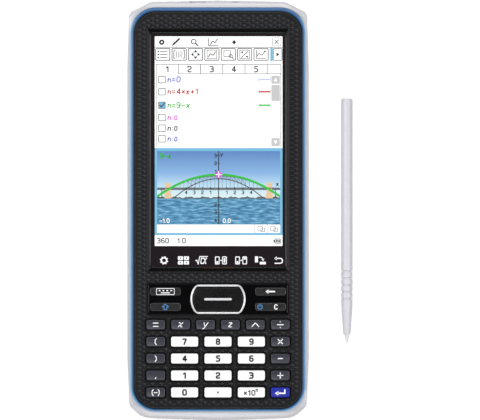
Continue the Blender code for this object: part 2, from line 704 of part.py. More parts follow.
def accent_band():
    outer = band_outline()
    inner = front_outline(GAP)
    foot = RIM_Z + GAP
    share_in, share_up = BAND_SHOULDER
    rings = [level(inner, foot), level(outer, foot), level(outer, foot + BAND_FOOT),
             level(blended(outer, inner, share_in), foot + share_up * BAND_HEIGHT),
             level(inner, foot + BAND_HEIGHT)]
    solid("accent_band", [rings], BLUE, closed=True)


def touch_window():
    outline = rectangle(WINDOW_WIDTH, WINDOW_LENGTH, WINDOW_CORNER, y=WINDOW_Y)
    solid("touch_window", [prism(outline, WINDOW_Z, WINDOW_TOP_Z)], WINDOW_TINT)


def lcd_module():
    outline = rectangle(DISPLAY_WIDTH, DISPLAY_LENGTH, WINDOW_CORNER, y=WINDOW_Y)
    solid("lcd_module", [prism(outline, DISPLAY_Z, DISPLAY_Z + DISPLAY_THICKNESS)], DISPLAY_WHITE)


def function_panel():
    outline = rectangle(2 * PANEL_HALF, PANEL_LENGTH, PANEL_CORNER, y=PANEL_Y)
    panel = solid("function_panel", [prism(outline, PANEL_Z, PANEL_TOP_Z)], GLOSS_BLACK)
    low = PANEL_Z - OVERCUT
    high = PANEL_TOP_Z + OVERCUT
    holes = [key_hole(place, low, high) for place in function_key_places()]
    combine(panel, solid("panel_holes", holes + [cursor_hole(low, high)]), "DIFFERENCE")


def cursor_rocker():
    """Chrome ring and black pad, which tilt on a small pivot resting on the keypad."""
    outer = cursor_outline(0)
    inner = cursor_outline(CURSOR_STROKE)
    ring_z = PANEL_TOP_Z + RING_LIFT
    ring_top = ring_z + RING_THICKNESS
    ring = solid("cursor_ring", [[level(inner, ring_z), level(outer, ring_z),
                                  level(outer, ring_top - KEY_TOP_BEVEL),
                                  level(cursor_outline(CURSOR_STROKE / 2), ring_top),
                                  level(inner, ring_top - KEY_TOP_BEVEL)]], CHROME, closed=True)
    pad_side = cursor_outline(CURSOR_STROKE + GAP)
    flange = cursor_outline(CURSOR_STROKE + GAP - PAD_FLANGE_WIDTH)
    flange_top = PLATE_Z - PAD_TILT_ROOM
    flange_z = flange_top - PAD_FLANGE
    pad = solid("cursor_pad", [[level(flange, flange_z), level(flange, flange_top),
                                level(pad_side, flange_top),
                                level(pad_side, ring_top - PAD_SINK)]], GLOSS_BLACK)
    pivot_z = flange_z - GAP - PIVOT_HEIGHT
    pivot = solid("cursor_pivot", [prism(circle(PIVOT_RADIUS, 0, PANEL_Y), pivot_z,
                                         pivot_z + PIVOT_HEIGHT)], BLACK)
    for obj in (ring, pad, pivot):
        place_origin(obj, Vector((0, PANEL_Y, pivot_z + PIVOT_HEIGHT / 2)))


def main_board():
    bottom = FRONT_BOTTOM + BOARD_END_MARGIN
    top = FRONT_TOP - BOARD_END_MARGIN
    outline = rectangle(2 * (FRONT_HALF - BOARD_SIDE_MARGIN), top - bottom, y=(top + bottom) / 2)
    board = solid("main_board", [prism(outline, BOARD_Z, BOARD_TOP)], BOARD_GREEN)
    chips = [prism(rectangle(width, length, x=x, y=y), BOARD_Z - height,
                   BOARD_Z + BOARD_THICKNESS / 2)
             for (width, length, height), (x, y) in zip(CHIP_SIZES, CHIP_PLACES)]
    combine(board, solid("chips", chips), "UNION")
    holes = [prism(circle(BOSS_RADIUS + GAP, x, y), BOARD_Z - OVERCUT, BOARD_TOP + OVERCUT)
             for x, y in SCREW_PLACES]
    combine(board, solid("board_holes", holes), "DIFFERENCE")


def dome(x, y, height):
    base = circle(DOME_RADIUS, x, y, DOME_SIDES)
    top = circle(DOME_TOP_RADIUS, x, y, DOME_SIDES)
    return [level(base, SHEET_Z + SHEET_THICKNESS / 2), level(top, height)]


def keypad_sheet():
    """Rubber mat with one dome under each key and four under the cursor pad."""
    low = LOWEST_ROW_Y - WHITE_KEY_LENGTH / 2 - SHEET_EDGE
    high = SHEET_TOP_Y
    outline = rectangle(2 * (KEY_FIELD_HALF + KEY_CLEAR - GAP), high - low, y=(low + high) / 2)
    sheet = solid("keypad_sheet", [prism(outline, SHEET_Z, SHEET_TOP)], RUBBER)
    key_domes = [dome(place[1], place[2], FLANGE_Z - GAP)
                 for place in key_places() + function_key_places()]
    pad_z = PLATE_Z - PAD_TILT_ROOM - PAD_FLANGE - GAP
    reach_x = CURSOR_HALF_WIDTH - CURSOR_STROKE - DOME_RADIUS
    reach_y = CURSOR_HALF_LENGTH - CURSOR_STROKE - DOME_RADIUS
    pad_domes = [dome(x, PANEL_Y + y, pad_z)
                 for x, y in ((reach_x, 0), (-reach_x, 0), (0, reach_y), (0, -reach_y))]
    combine(sheet, solid("domes", key_domes + pad_domes), "UNION")


def cell_x(index):
    return (index - (CELLS - 1) / 2) * CELL_PITCH


def cell_end(index):
    """+1 where a cell's raised terminal points to the display end, -1 where it points away."""
    return 1 if index % 2 == 0 else -1


def battery(index):
    body_top = CELL_LENGTH - TERMINAL_HEIGHT
    radius = CELL_DIAMETER / 2
    profile = ((0, CELL_LENGTH), (TERMINAL_RADIUS, CELL_LENGTH), (TERMINAL_RADIUS, body_top),
               (radius, body_top), (radius, 0), (0, 0))
    cell = turned(f"battery_{index + 1}", profile, SLEEVE, CELL_STEPS)
    end = cell_end(index)
    cell.rotation_euler = (-end * math.pi / 2, 0, 0)
    cell.location = (cell_x(index), BAY_Y - end * CELL_LENGTH / 2, CELL_Z)


def spring_mesh(name, x, plate_y, direction):
    """Conical wound wire standing on a contact plate, as a closed mesh."""
    curve = bpy.data.curves.new(name, "CURVE")
    curve.dimensions = "3D"
    curve.bevel_depth = SPRING_WIRE / 2
    curve.bevel_resolution = 1
    curve.use_fill_caps = True
    spline = curve.splines.new("POLY")
    count = int(SPRING_TURNS * SPRING_STEPS) + 1
    spline.points.add(count - 1)
    rise = CONTACT_REACH - GAP - SPRING_WIRE / 2
    for index, point in enumerate(spline.points):
        share = index / (count - 1)
        angle = 2 * math.pi * SPRING_TURNS * share
        radius = SPRING_BASE_RADIUS + (SPRING_TIP_RADIUS - SPRING_BASE_RADIUS) * share
        point.co = (x + radius * math.cos(angle), plate_y + direction * rise * share,
                    CELL_Z + radius * math.sin(angle), 1)
    guide = bpy.data.objects.new(name + "_wire", curve)
    bpy.context.scene.collection.objects.link(guide)
    depsgraph = bpy.context.evaluated_depsgraph_get()
    mesh = bpy.data.meshes.new_from_object(guide.evaluated_get(depsgraph))
    bpy.data.objects.remove(guide, do_unlink=True)
    bm = bmesh.new()
    bm.from_mesh(mesh)
    bmesh.ops.remove_doubles(bm, verts=bm.verts, dist=1e-6)
    bmesh.ops.recalc_face_normals(bm, faces=bm.faces)
    bm.to_mesh(mesh)
    bm.free()
    return add_object(name, mesh)


def battery_contact(name, cells, end):
    """Plate at one end of the bay, with a spring or a button for each cell that it touches."""
    wall_y = BAY_Y + end * (BAY_LENGTH / 2 - GAP)
    face_y = wall_y - end * CONTACT_PLATE
    middle_x = sum(cell_x(index) for index in cells) / len(cells)
    width = CONTACT_WIDTH + (len(cells) - 1) * CELL_PITCH
    outline = rectangle(width, CONTACT_HEIGHT, x=middle_x, y=CELL_Z)
    plate = solid(name, [[upright_ring(outline, wall_y), upright_ring(outline, face_y)]], STEEL)
    for index in cells:
        x = cell_x(index)
        if cell_end(index) == end:
            shape = circle(BUTTON_RADIUS, x, CELL_Z)
            button = [upright_ring(shape, face_y + end * CONTACT_PLATE / 2),
                      upright_ring(shape, face_y - end * (CONTACT_REACH - GAP))]
            combine(plate, solid(f"{name}_button_{index}", [button]), "UNION")
        else:
            spring = spring_mesh(f"{name}_spring_{index}", x, face_y, -end)
            combine(plate, spring, "UNION")


def case_screw(index, x, y):
    top = SCREW_SINK + SCREW_HEAD_HEIGHT
    edge = SCREW_HEAD_RADIUS - SCREW_SINK
    profile = ((0, top + SCREW_LENGTH - 2 * GAP), (SCREW_SHANK_RADIUS, top + SCREW_LENGTH - 2 * GAP),
               (SCREW_SHANK_RADIUS, top), (SCREW_HEAD_RADIUS, top),
               (SCREW_HEAD_RADIUS, 2 * SCREW_SINK), (edge, SCREW_SINK), (0, SCREW_SINK))
    turned(f"case_screw_{index + 1}", profile, STEEL).location = (x, y, 0)


def restart_button():
    """Plunger through the back that reaches up to the switch under the board."""
    flange_z = FLOOR + GAP
    flange_top = flange_z + RESTART_FLANGE_HEIGHT
    top = BOARD_Z - GAP - RESTART_TRAVEL
    profile = ((0, top), (RESTART_STEM_RADIUS, top), (RESTART_STEM_RADIUS, flange_top),
               (RESTART_FLANGE_RADIUS, flange_top), (RESTART_FLANGE_RADIUS, flange_z),
               (RESTART_RADIUS, flange_z), (RESTART_RADIUS, RESTART_SINK), (0, RESTART_SINK))
    turned("restart_button", profile, RUBBER).location = (RESTART_X, RESTART_Y, 0)


def usb_socket():
    z = PORT_TOP_Z - SOCKET_HEIGHT / 2
    outer = rectangle(SOCKET_WIDTH, SOCKET_HEIGHT, 0, SOCKET_X, z)
    inner = rectangle(SOCKET_WIDTH - 2 * SOCKET_WALL, SOCKET_HEIGHT - 2 * SOCKET_WALL, 0, SOCKET_X, z)
    rings = [upright_ring(outer, PORT_FACE_Y - SOCKET_DEPTH), upright_ring(outer, PORT_FACE_Y),
             upright_ring(inner, PORT_FACE_Y), upright_ring(inner, PORT_FACE_Y - SOCKET_REACH)]
    solid("usb_socket", [rings], STEEL)


def data_jack():
    profile = ((0, JACK_DEPTH - JACK_REACH), (JACK_BORE, JACK_DEPTH - JACK_REACH),
               (JACK_BORE, JACK_DEPTH), (JACK_RADIUS, JACK_DEPTH), (JACK_RADIUS, 0), (0, 0))
    jack = turned("data_jack", profile, BLACK)
    jack.rotation_euler = (-math.pi / 2, 0, 0)
    jack.location = (JACK_X, PORT_FACE_Y - JACK_DEPTH, PORT_TOP_Z - JACK_RADIUS)


def lcd_flex_cable():
    """Flat cable that leaves the display's lower end and settles on the board."""
    start = Vector((DISPLAY_BOTTOM - GAP, DISPLAY_Z + DISPLAY_THICKNESS / 2))
    low_z = BOARD_TOP + GAP + CABLE_THICKNESS
    bm = bmesh.new()
    last = None
    for index in range(CABLE_POINTS):
        share = index / (CABLE_POINTS - 1)
        drop = (1 - math.cos(math.pi * min(1.0, share / CABLE_BEND))) / 2
        y = start.x - CABLE_RUN * share
        z = start.y + (low_z - start.y) * drop
        pair = [bm.verts.new((side * CABLE_WIDTH / 2, y, z)) for side in (-1, 1)]
        if last:
            bm.faces.new((last[0], last[1], pair[1], pair[0]))
        last = pair
    mesh = bpy.data.meshes.new("lcd_flex_cable")
    bm.to_mesh(mesh)
    bm.free()
    cable = add_object("lcd_flex_cable", mesh, CABLE_AMBER)
    thickness = cable.modifiers.new("thickness", "SOLIDIFY")
    thickness.thickness = CABLE_THICKNESS
    thickness.offset = 0


def stylus():
    """Barrel with a flat end, a grooved grip and a tapering plastic tip."""
    radius = STYLUS_DIAMETER / 2
    profile = [(0, STYLUS_LENGTH), (radius - STYLUS_END_ROUND, STYLUS_LENGTH),
               (radius, STYLUS_LENGTH - STYLUS_END_ROUND)]
    for index in reversed(range(STYLUS_GROOVES)):
        z = STYLUS_GRIP_START + 2 * STYLUS_END_ROUND + index * STYLUS_GROOVE_PITCH
        profile += [(radius, z + STYLUS_END_ROUND), (radius - STYLUS_GROOVE_DEPTH, z),
                    (radius, z - STYLUS_END_ROUND)]
    profile += [(STYLUS_NECK_RADIUS, STYLUS_NECK_START), (STYLUS_TIP_RADIUS, STYLUS_NECK_START),
                (STYLUS_POINT_RADIUS, 0), (0, 0)]
    pen = turned("stylus", profile, STYLUS_GREY)
    pen.rotation_euler = (-math.pi / 2, 0, 0)
    pen.location = (STYLUS_X, STYLUS_TIP_Y, radius)


def build_calculator():
    clear_scene()
    rear_case()
    front_case()
    accent_band()
    battery_cover()
    touch_window()
    lcd_module()
    function_panel()
    cursor_rocker()
    for place in key_places() + function_key_places():
        key(place)
    main_board()
    keypad_sheet()
    lcd_flex_cable()
    for index in range(CELLS):
        battery(index)
    battery_contact("contact_start", (0,), 1)
    battery_contact("contact_link_middle", (1, 2), 1)
    battery_contact("contact_end", (3,), 1)
    battery_contact("contact_link_left", (0, 1), -1)
    battery_contact("contact_link_right", (2, 3), -1)
    for index, (x, y) in enumerate(SCREW_PLACES):
        case_screw(index, x, y)
    restart_button()
    usb_socket()
    data_jack()
    stylus()


build_calculator()
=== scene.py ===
"""Looks of the graphing calculator: fine shells, keys, legends, display, stylus and studio.

Units are metres: +Z points out of the front and +Y towards the display's end. Places come from
the boxes of the solid pieces. The display's drawings and the legends are laid out in millimetres
and scaled once.
"""
import math

import bmesh
import bpy
from mathutils import Matrix, Vector


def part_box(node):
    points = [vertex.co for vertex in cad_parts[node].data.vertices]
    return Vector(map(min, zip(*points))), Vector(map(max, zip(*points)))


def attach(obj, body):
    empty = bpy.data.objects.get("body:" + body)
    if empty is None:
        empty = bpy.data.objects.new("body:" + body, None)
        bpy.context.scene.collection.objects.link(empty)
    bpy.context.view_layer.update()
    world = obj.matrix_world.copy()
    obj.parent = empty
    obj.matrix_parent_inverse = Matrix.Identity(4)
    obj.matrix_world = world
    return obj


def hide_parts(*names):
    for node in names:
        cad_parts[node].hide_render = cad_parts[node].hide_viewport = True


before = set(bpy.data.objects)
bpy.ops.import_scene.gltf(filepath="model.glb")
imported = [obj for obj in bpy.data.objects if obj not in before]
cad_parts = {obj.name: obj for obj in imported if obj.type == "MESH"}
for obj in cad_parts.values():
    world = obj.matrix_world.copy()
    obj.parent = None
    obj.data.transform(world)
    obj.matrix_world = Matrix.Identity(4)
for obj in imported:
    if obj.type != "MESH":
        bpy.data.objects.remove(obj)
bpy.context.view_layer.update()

# Clearances and steps
MM = 0.001
GAP = 0.0003
OVERCUT = 0.0010
ARC_STEPS = 9  # facets in half a body corner
CORNER_STEPS = 5
ROUND_STEPS = 48
EDGE_STEPS = 5  # rings that round an edge
SMOOTH_ANGLE = math.radians(26)

# Body shape
SIDE_TAPER_TOP = 0.033
SIDE_TAPER_BOTTOM = 0.031
LOWER_CORNERS = ((0.0075, 0.0014, 0.009), (0.0010, 0.0073, 0.003))  # in from side, from end, radius
UPPER_CORNERS = ((0.0009, 0.0061, 0.003), (0.0116, 0.0006, 0.006))
BAND_CORNER = 0.0125
FRONT_CORNER = 0.0108
BELLY_DROP = 0.0040
BACK_INSET = 0.0032
BACK_POWER = 3.0  # fullness of the rounded back edge
SHOULDER_POWER = 2.6
RIM_LEDGE = 0.0002
FLOOR = 0.0020
SKIRT = 0.0015
SKIRT_LAP = 0.0006
PLATE = 0.0025
FACE_DROP = 0.0014
FACE_SLIM = 0.0004  # the trim laps this far over each side of the front shell
FACE_ROUND = 0.0008
BAND_FOOT = 0.0009
BAND_POWER = 2.2  # fullness of the band's dome
BAND_STEPS = 8
WINDOW_CORNER = 0.0010
RECESS_SLOPE = 0.0014
SURROUND_REACH = 0.0020  # the window's sloped surround ends within this
WINDOW_EDGE = 0.00025
PANEL_CORNER = 0.0008
PANEL_EDGE = 0.0002
PANEL_LINE = 0.00035  # painted highlight line down each side of the panel
BAY_WALL = 0.0012
COVER_DOVETAIL = 0.0012
COVER_CORNER = 0.0006
COVER_EASE = 0.0002
COVER_GROOVES = 7
COVER_GROOVE_FIRST = 0.0060
COVER_GROOVE_PITCH = 0.0012
COVER_GROOVE_REACH = 0.0110
COVER_GROOVE_HALF = 0.0003
COVER_GROOVE_DEPTH = 0.0004
COVER_ARROW_DOWN = 0.0180  # from the cover's upper edge to its arrow
NOTCH_WIDTH = 0.0160
NOTCH_LENGTH = 0.0050
NOTCH_CORNER = 0.0022
NOTCH_DEPTH = 0.0007
NOTCH_UP = 0.0062  # from the cover's upper edge to the notch's middle
NOTCH_STEPS = 5
PLINTH_LAP = 0.0020
PLINTH_HEIGHT = 0.0032
CHANNEL_WALL = 0.0014
CHANNEL_CORNER = 0.00175
CHANNEL_SPARE = 0.0020
CHANNEL_FROM_SIDE = 0.0085
CHANNEL_FROM_TOP = 0.0105
RESTART_RADIUS = 0.0012
RESTART_FLANGE_RADIUS = 0.0020
RESTART_FLANGE = 0.0008
RESTART_STEM_RADIUS = 0.0009
RESTART_EDGE = 0.0003
SCREW_SEAT = 0.0020
SCREW_PAD_RADIUS = 0.0030
SCREW_PAD_HEIGHT = 0.0040
SCREW_SHANK_RADIUS = 0.00075
SCREW_HEAD = 0.0013
SCREW_POINT = 0.0006
SCREW_DOME = 0.28  # share of the head's radius that its edge takes
BOSS_RADIUS = 0.0022

# Keys and cursor rocker
KEY_CORNER = 0.0009
KEY_CLEAR = 0.00035
KEY_HALO = 0.00035  # width of the painted-shade ring round each key hole
KEY_FLANGE_HEIGHT = 0.0007
KEY_TAB = 0.0006  # how far a tab reaches under the plate
KEY_EDGE = 0.00045  # rounded edge round a key's top
WHITE_KEY_INSET = 0.0002
KEY_CHIN = 0.0008  # wider slope along a key's lower edge
KEY_CHIN_DROP = 0.00035
CURSOR_END_RADIUS = 0.0104
CURSOR_STROKE = 0.0011
CURSOR_CORNER = 0.0012
CURSOR_CLEAR = 0.0005
RING_STEPS = 16
RING_ROUND = 0.46  # half width of the ring, as a share of its stroke
BAR_WIDTH = 0.0136
BAR_LENGTH = 0.0012
BAR_RISE = 0.0003
BAR_EDGE = 0.0003
PAD_EDGE = 0.0004
PAD_FLANGE = 0.0006
PAD_FLANGE_REACH = 0.0010
MARK_X = 0.0100
MARK_Y = 0.0041
MARK_POINTS = ((0.0006, 0), (-0.0003, 0.0006), (-0.0003, -0.0006))

# Relief on the front face
RELIEF_PITCH = 0.00426
RELIEF_ROW = 0.00113
RELIEF_RISE = 0.00022
RELIEF_MARGIN = 0.00015
RELIEF_CREST = 0.22  # how far a tile's crest draws in towards its middle
# Plan of one tile round its peak, in millimetres
RELIEF_TILE = ((-1.24, -0.42), (-1.02, -0.74), (-0.15, -0.38), (0.30, -1.62), (0.78, -1.50),
               (0.46, -0.48), (1.10, -0.72), (1.34, -0.38), (0.25, 0.26), (-0.18, 0.28))
RELIEF_CAP = ((-0.95, -0.38), (-0.75, -0.66), (0.05, -0.38), (0.75, -0.66), (0.95, -0.38),
              (0.20, 0.16), (-0.20, 0.16))
RELIEF_HALF = ((-0.95, -0.38), (-0.75, -0.66), (-0.10, -0.40), (-0.05, 0.12), (-0.30, 0.14))

# Stylus, measured up from its tip
STYLUS_EDGE = 0.0006
NECK_START = 0.0043
NECK_RADIUS = 0.00175
NECK_HOLE = 0.0016
NOSE_POWER = 1.15
NOSE_STEPS = 10
GRIP_START = 0.0205
GRIP_GROOVES = 5
GROOVE_FIRST = 0.0010
GROOVE_PITCH = 0.0034
GROOVE_DEPTH = 0.00055
GROOVE_HALF = 0.0005
GROOVE_STEPS = 6
TIP_RADIUS = 0.0011
TIP_ROUND = 0.0006

# Cells and sockets
EASE = 0.0001  # finest bevel
CELL_RIM = 0.0010  # from the nub's top down to the can's end
CELL_SHOULDER = 0.0080
CELL_EDGE = 0.0005
NUB_RADIUS = 0.0019
NUB_EDGE = 0.0002
SOCKET_DEPTH = 0.0070
JACK_LIP = 0.0004

LEGEND_THICKNESS = 0.00003
SHEET = 0.00003  # step between the layers drawn on the display

REAR_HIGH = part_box("rear_case")[1]
FRONT_LOW, FRONT_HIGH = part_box("front_case")
FACE_HALF = FRONT_HIGH.x - FACE_SLIM
BAND_LOW, BAND_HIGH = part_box("accent_band")
WINDOW_LOW, WINDOW_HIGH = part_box("touch_window")
PANEL_LOW, PANEL_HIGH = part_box("function_panel")
RING_LOW, RING_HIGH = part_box("cursor_ring")
COVER_LOW, COVER_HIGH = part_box("battery_cover")
HALF_WIDTH = REAR_HIGH.x
HALF_LENGTH = REAR_HIGH.y
RIM_Z = REAR_HIGH.z
FACE_Z = FRONT_HIGH.z
PLATE_Z = FACE_Z - PLATE
WINDOW_Y = (WINDOW_LOW.y + WINDOW_HIGH.y) / 2
PANEL_Y = (PANEL_LOW.y + PANEL_HIGH.y) / 2
WINDOW_SIZE = (2 * WINDOW_HIGH.x, WINDOW_HIGH.y - WINDOW_LOW.y)
PANEL_SIZE = (2 * PANEL_HIGH.x, PANEL_HIGH.y - PANEL_LOW.y)
SIDE_STRAIGHT_TOP = HALF_LENGTH - SIDE_TAPER_TOP
SIDE_STRAIGHT_BOTTOM = SIDE_TAPER_BOTTOM - HALF_LENGTH

# Display area under the window
SCREEN_WIDTH = 0.06245
SCREEN_UNITS = 63.0  # units across the display, which its drawings use
SCREEN_DOWN = 102.5  # millimetres down the display
SCREEN_TOP_MARGIN = 0.0019
SCREEN_LEFT = 0.0003 - SCREEN_WIDTH / 2
SCREEN_TOP = WINDOW_HIGH.y - SCREEN_TOP_MARGIN
ICON_ROW_Y = WINDOW_LOW.y + 0.0036

DARK_KEYS = ("key_equals", "key_x", "key_y", "key_z", "key_power", "key_divide",
             "key_bracket_open", "key_times", "key_bracket_close", "key_minus", "key_comma",
             "key_plus", "key_negative")
WHITE_KEYS = tuple(f"key_{digit}" for digit in range(10)) + ("key_point", "key_exponent")
FUNCTION_KEYS = ("key_keyboard", "key_shift", "key_backspace", "key_clear")
PAD_KEYS = DARK_KEYS + WHITE_KEYS + ("key_execute",)
SCREWS = tuple(f"case_screw_{index}" for index in range(1, 5))
BOXES = {node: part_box(node) for node in PAD_KEYS + FUNCTION_KEYS}
ROW_PITCH = BOXES["key_9"][0].y - BOXES["key_6"][0].y
KEY_FOOT_Y = BOXES["key_0"][0].y

# Drawn signs: width, then strokes as (x, y) points in cap heights; a closed stroke repeats its start
SIGNS = {
    "0": (0.62, [[(0, 0), (0.62, 0), (0.62, 1), (0, 1), (0, 0)]]),
    "1": (0.34, [[(0, 0.80), (0.30, 1), (0.30, 0)]]),
    "2": (0.60, [[(0, 0.84), (0, 1), (0.6, 1), (0.6, 0.56), (0, 0.32), (0, 0), (0.62, 0)]]),
    "3": (0.60, [[(0, 1), (0.58, 1), (0.58, 0.53), (0.2, 0.53)],
                 [(0.3, 0.53), (0.6, 0.53), (0.6, 0), (0, 0)]]),
    "4": (0.66, [[(0.48, 0), (0.48, 1)], [(0.48, 1), (0, 0.30), (0.68, 0.30)]]),
    "5": (0.60, [[(0.58, 1), (0.04, 1), (0.02, 0.58), (0.6, 0.58), (0.6, 0), (0, 0)]]),
    "6": (0.60, [[(0.54, 1), (0, 1), (0, 0), (0.6, 0), (0.6, 0.56), (0.06, 0.56)]]),
    "7": (0.60, [[(0, 1), (0.6, 1), (0.22, 0)]]),
    "8": (0.60, [[(0.02, 0.53), (0.02, 1), (0.58, 1), (0.58, 0.53), (0.02, 0.53)],
                 [(0, 0.53), (0, 0), (0.6, 0), (0.6, 0.53), (0, 0.53)]]),
    "9": (0.60, [[(0.06, 0), (0.6, 0), (0.6, 1), (0, 1), (0, 0.44), (0.54, 0.44)]]),
    "x": (0.52, [[(0, 0.62), (0.12, 0.62), (0.40, 0), (0.52, 0)], [(0, 0), (0.52, 0.62)]]),
    "y": (0.52, [[(0, 0.62), (0.24, 0.04)], [(0.54, 0.62), (0.18, -0.22), (0, -0.26)]]),
    "z": (0.48, [[(0.02, 0.60), (0.46, 0.60), (0, 0), (0.48, 0)]]),
    "n": (0.46, [[(0, 0), (0, 0.62)], [(0, 0.44), (0.1, 0.62), (0.46, 0.62), (0.46, 0)]]),
    "C": (0.60, [[(0.58, 0.84), (0.5, 1), (0, 1), (0, 0), (0.5, 0), (0.58, 0.16)]]),
    "a": (0.62, [[(0.62, 0.68), (0.34, 0.02), (0.02, 0.02), (0.02, 0.33)],
                 [(0.02, 0.33), (0.02, 0.66), (0.34, 0.66), (0.62, 0)]]),
    "+": (0.60, [[(0, 0.42), (0.6, 0.42)], [(0.3, 0.12), (0.3, 0.72)]]),
    "-": (0.60, [[(0, 0.42), (0.6, 0.42)]]),
    "*": (0.48, [[(0, 0.18), (0.48, 0.66)], [(0, 0.66), (0.48, 0.18)]]),
    "/": (0.64, [[(0, 0.42), (0.64, 0.42)], [(0.32, 0.73), (0.32, 0.74)],
                 [(0.32, 0.11), (0.32, 0.10)]]),
    "^": (0.76, [[(0, 0.22), (0.38, 0.62), (0.76, 0.22)]]),
    "=": (0.54, [[(0, 0.60), (0.54, 0.60)], [(0, 0.23), (0.54, 0.23)]]),
    "(": (0.24, [[(0.24, 1.02), (0, 0.72), (0, 0.16), (0.24, -0.14)]]),
    ")": (0.24, [[(0, 1.02), (0.24, 0.72), (0.24, 0.16), (0, -0.14)]]),
    ",": (0.16, [[(0.12, 0.08), (0.12, 0.02), (0, -0.14)]]),
    ".": (0.10, [[(0.05, 0.02), (0.05, 0.03)]]),
    ":": (0.10, [[(0.05, 0.10), (0.05, 0.11)], [(0.05, 0.56), (0.05, 0.57)]]),
    "#": (0.46, [[(0, 0), (0.46, 0), (0.46, 0.78), (0, 0.78), (0, 0)]]),
    " ": (0.20, []),
}
SOFT_SIGNS = "02356890Cn()#"
SOFT_CORNER = 0.24  # in sign heights
SHARP_CORNER = 0.05


# ---------------------------------------------------------------- outlines

def filleted(corners, steps=ARC_STEPS):
    """Outline through corners (x, y, radius), anticlockwise; each round one gives steps + 1 points."""
    outline = []
    for index, (x, y, radius) in enumerate(corners):
        here = Vector((x, y))
        if radius == 0:
            outline.append(here)
            continue
        to_last = (Vector(corners[index - 1][:2]) - here).normalized()
        to_next = (Vector(corners[(index + 1) % len(corners)][:2]) - here).normalized()
        half_angle = to_last.angle(to_next) / 2
        turn = math.pi - 2 * half_angle
        if to_last.cross(to_next) > 0:
            turn = -turn
        centre = here + (to_last + to_next).normalized() * radius / math.sin(half_angle)
        spoke = here + to_last * radius / math.tan(half_angle) - centre
        for step in range(steps + 1):
            outline.append(centre + Matrix.Rotation(turn * step / steps, 2) @ spoke)
    return outline


def rectangle(width, length, radius=0.0, x=0.0, y=0.0, steps=CORNER_STEPS):
    corners = [(x + sx * width / 2, y + sy * length / 2, radius)
               for sx, sy in ((1, 1), (-1, 1), (-1, -1), (1, -1))]
    return filleted(corners, steps)


def box_outline(low, high, radius=0.0, grow=0.0, steps=CORNER_STEPS):
    """Rectangle round a piece's box, in plan."""
    return rectangle(high.x - low.x + 2 * grow, high.y - low.y + 2 * grow, radius,
                     (low.x + high.x) / 2, (low.y + high.y) / 2, steps)


def circle(radius, x=0.0, y=0.0, sides=ROUND_STEPS):
    angles = [2 * math.pi * index / sides for index in range(sides)]
    return [Vector((x + radius * math.cos(a), y + radius * math.sin(a))) for a in angles]


def mirrored(bottom, right_side, top):
    """Closed anticlockwise corner list from the right side, listed bottom to top."""
    left_side = [(-x, y, radius) for x, y, radius in reversed(right_side)]
    return [(0, bottom, 0)] + right_side + [(0, top, 0)] + left_side


def round_ended(half_width, bottom, top, radius):
    """Body outline with plain round corners, each made of two half corners."""
    half_corner = radius * math.tan(math.pi / 8)
    right_side = [(half_width - radius + half_corner, bottom, radius),
                  (half_width, bottom + radius - half_corner, radius),
                  (half_width, SIDE_STRAIGHT_BOTTOM, 0),
                  (half_width, SIDE_STRAIGHT_TOP, 0),
                  (half_width, top - radius + half_corner, radius),
                  (half_width - radius + half_corner, top, radius)]
    return filleted(mirrored(bottom, right_side, top))


def silhouette(inset):
    """Widest outline of the rear shell: chamfered top corners and rounder lower ones."""
    right_side = [(HALF_WIDTH - side, end - HALF_LENGTH, radius)
                  for side, end, radius in LOWER_CORNERS]
    right_side += [(HALF_WIDTH, SIDE_STRAIGHT_BOTTOM, 0), (HALF_WIDTH, SIDE_STRAIGHT_TOP, 0)]
    right_side += [(HALF_WIDTH - side, HALF_LENGTH - end, radius)
                   for side, end, radius in UPPER_CORNERS]
    outline = filleted(mirrored(-HALF_LENGTH, right_side, HALF_LENGTH))
    scale = Vector((1 - inset / HALF_WIDTH, 1 - inset / HALF_LENGTH))
    return [point * scale for point in outline]


def front_outline(grow=0.0):
    return round_ended(FACE_HALF + grow, FRONT_LOW.y - grow, FRONT_HIGH.y + grow,
                       FRONT_CORNER + grow)


def band_outline(grow=0.0):
    return round_ended(BAND_HIGH.x + grow, BAND_LOW.y - grow, BAND_HIGH.y + grow,
                       BAND_CORNER + grow)


def blended(outline_a, outline_b, share):
    return [a.lerp(b, share) for a, b in zip(outline_a, outline_b)]


def cursor_outline(inset, steps=10):
    """Flat-sided outline with bulging ends and eased corners, set in from the ring's edge."""
    half_length = (RING_HIGH.y - RING_LOW.y) / 2 - inset
    radius = CURSOR_END_RADIUS - inset
    end_x = RING_HIGH.x - CURSOR_END_RADIUS
    corner = max(CURSOR_CORNER - inset, CURSOR_CORNER / 3)
    sweep = math.asin(half_length / radius) - corner / radius
    outline = []
    for side in (1, -1):
        turn = 0 if side == 1 else math.pi
        for step in range(steps + 1):
            angle = sweep * (2 * step / steps - 1)
            point = Vector((end_x + radius * math.cos(angle), radius * math.sin(angle)))
            outline.append(Matrix.Rotation(turn, 2) @ point)
        corner_x = end_x + math.sqrt(radius ** 2 - half_length ** 2)
        outline.append(Matrix.Rotation(turn, 2)
                       @ Vector((corner_x - corner / 3, half_length - corner / 8)))
        outline.append(Matrix.Rotation(turn, 2) @ Vector((corner_x - corner, half_length)))
        outline.append(Matrix.Rotation(turn, 2) @ Vector((corner - corner_x, half_length)))
        outline.append(Matrix.Rotation(turn, 2)
                       @ Vector((corner / 3 - corner_x, half_length - corner / 8)))
    return [point + Vector((0, PANEL_Y)) for point in outline]


def depth(point, width, length, radius, x=0.0, y=0.0):
    """Signed distance of a point from a round-cornered rectangle, negative inside."""
    over_x = abs(point.x - x) - width / 2 + radius
    over_y = abs(point.y - y) - length / 2 + radius
    outside = math.hypot(max(over_x, 0), max(over_y, 0))
    return outside + min(max(over_x, over_y), 0) - radius


# ---------------------------------------------------------------- meshes

def level(outline, z):
    return [Vector((point.x, point.y, z)) for point in outline]


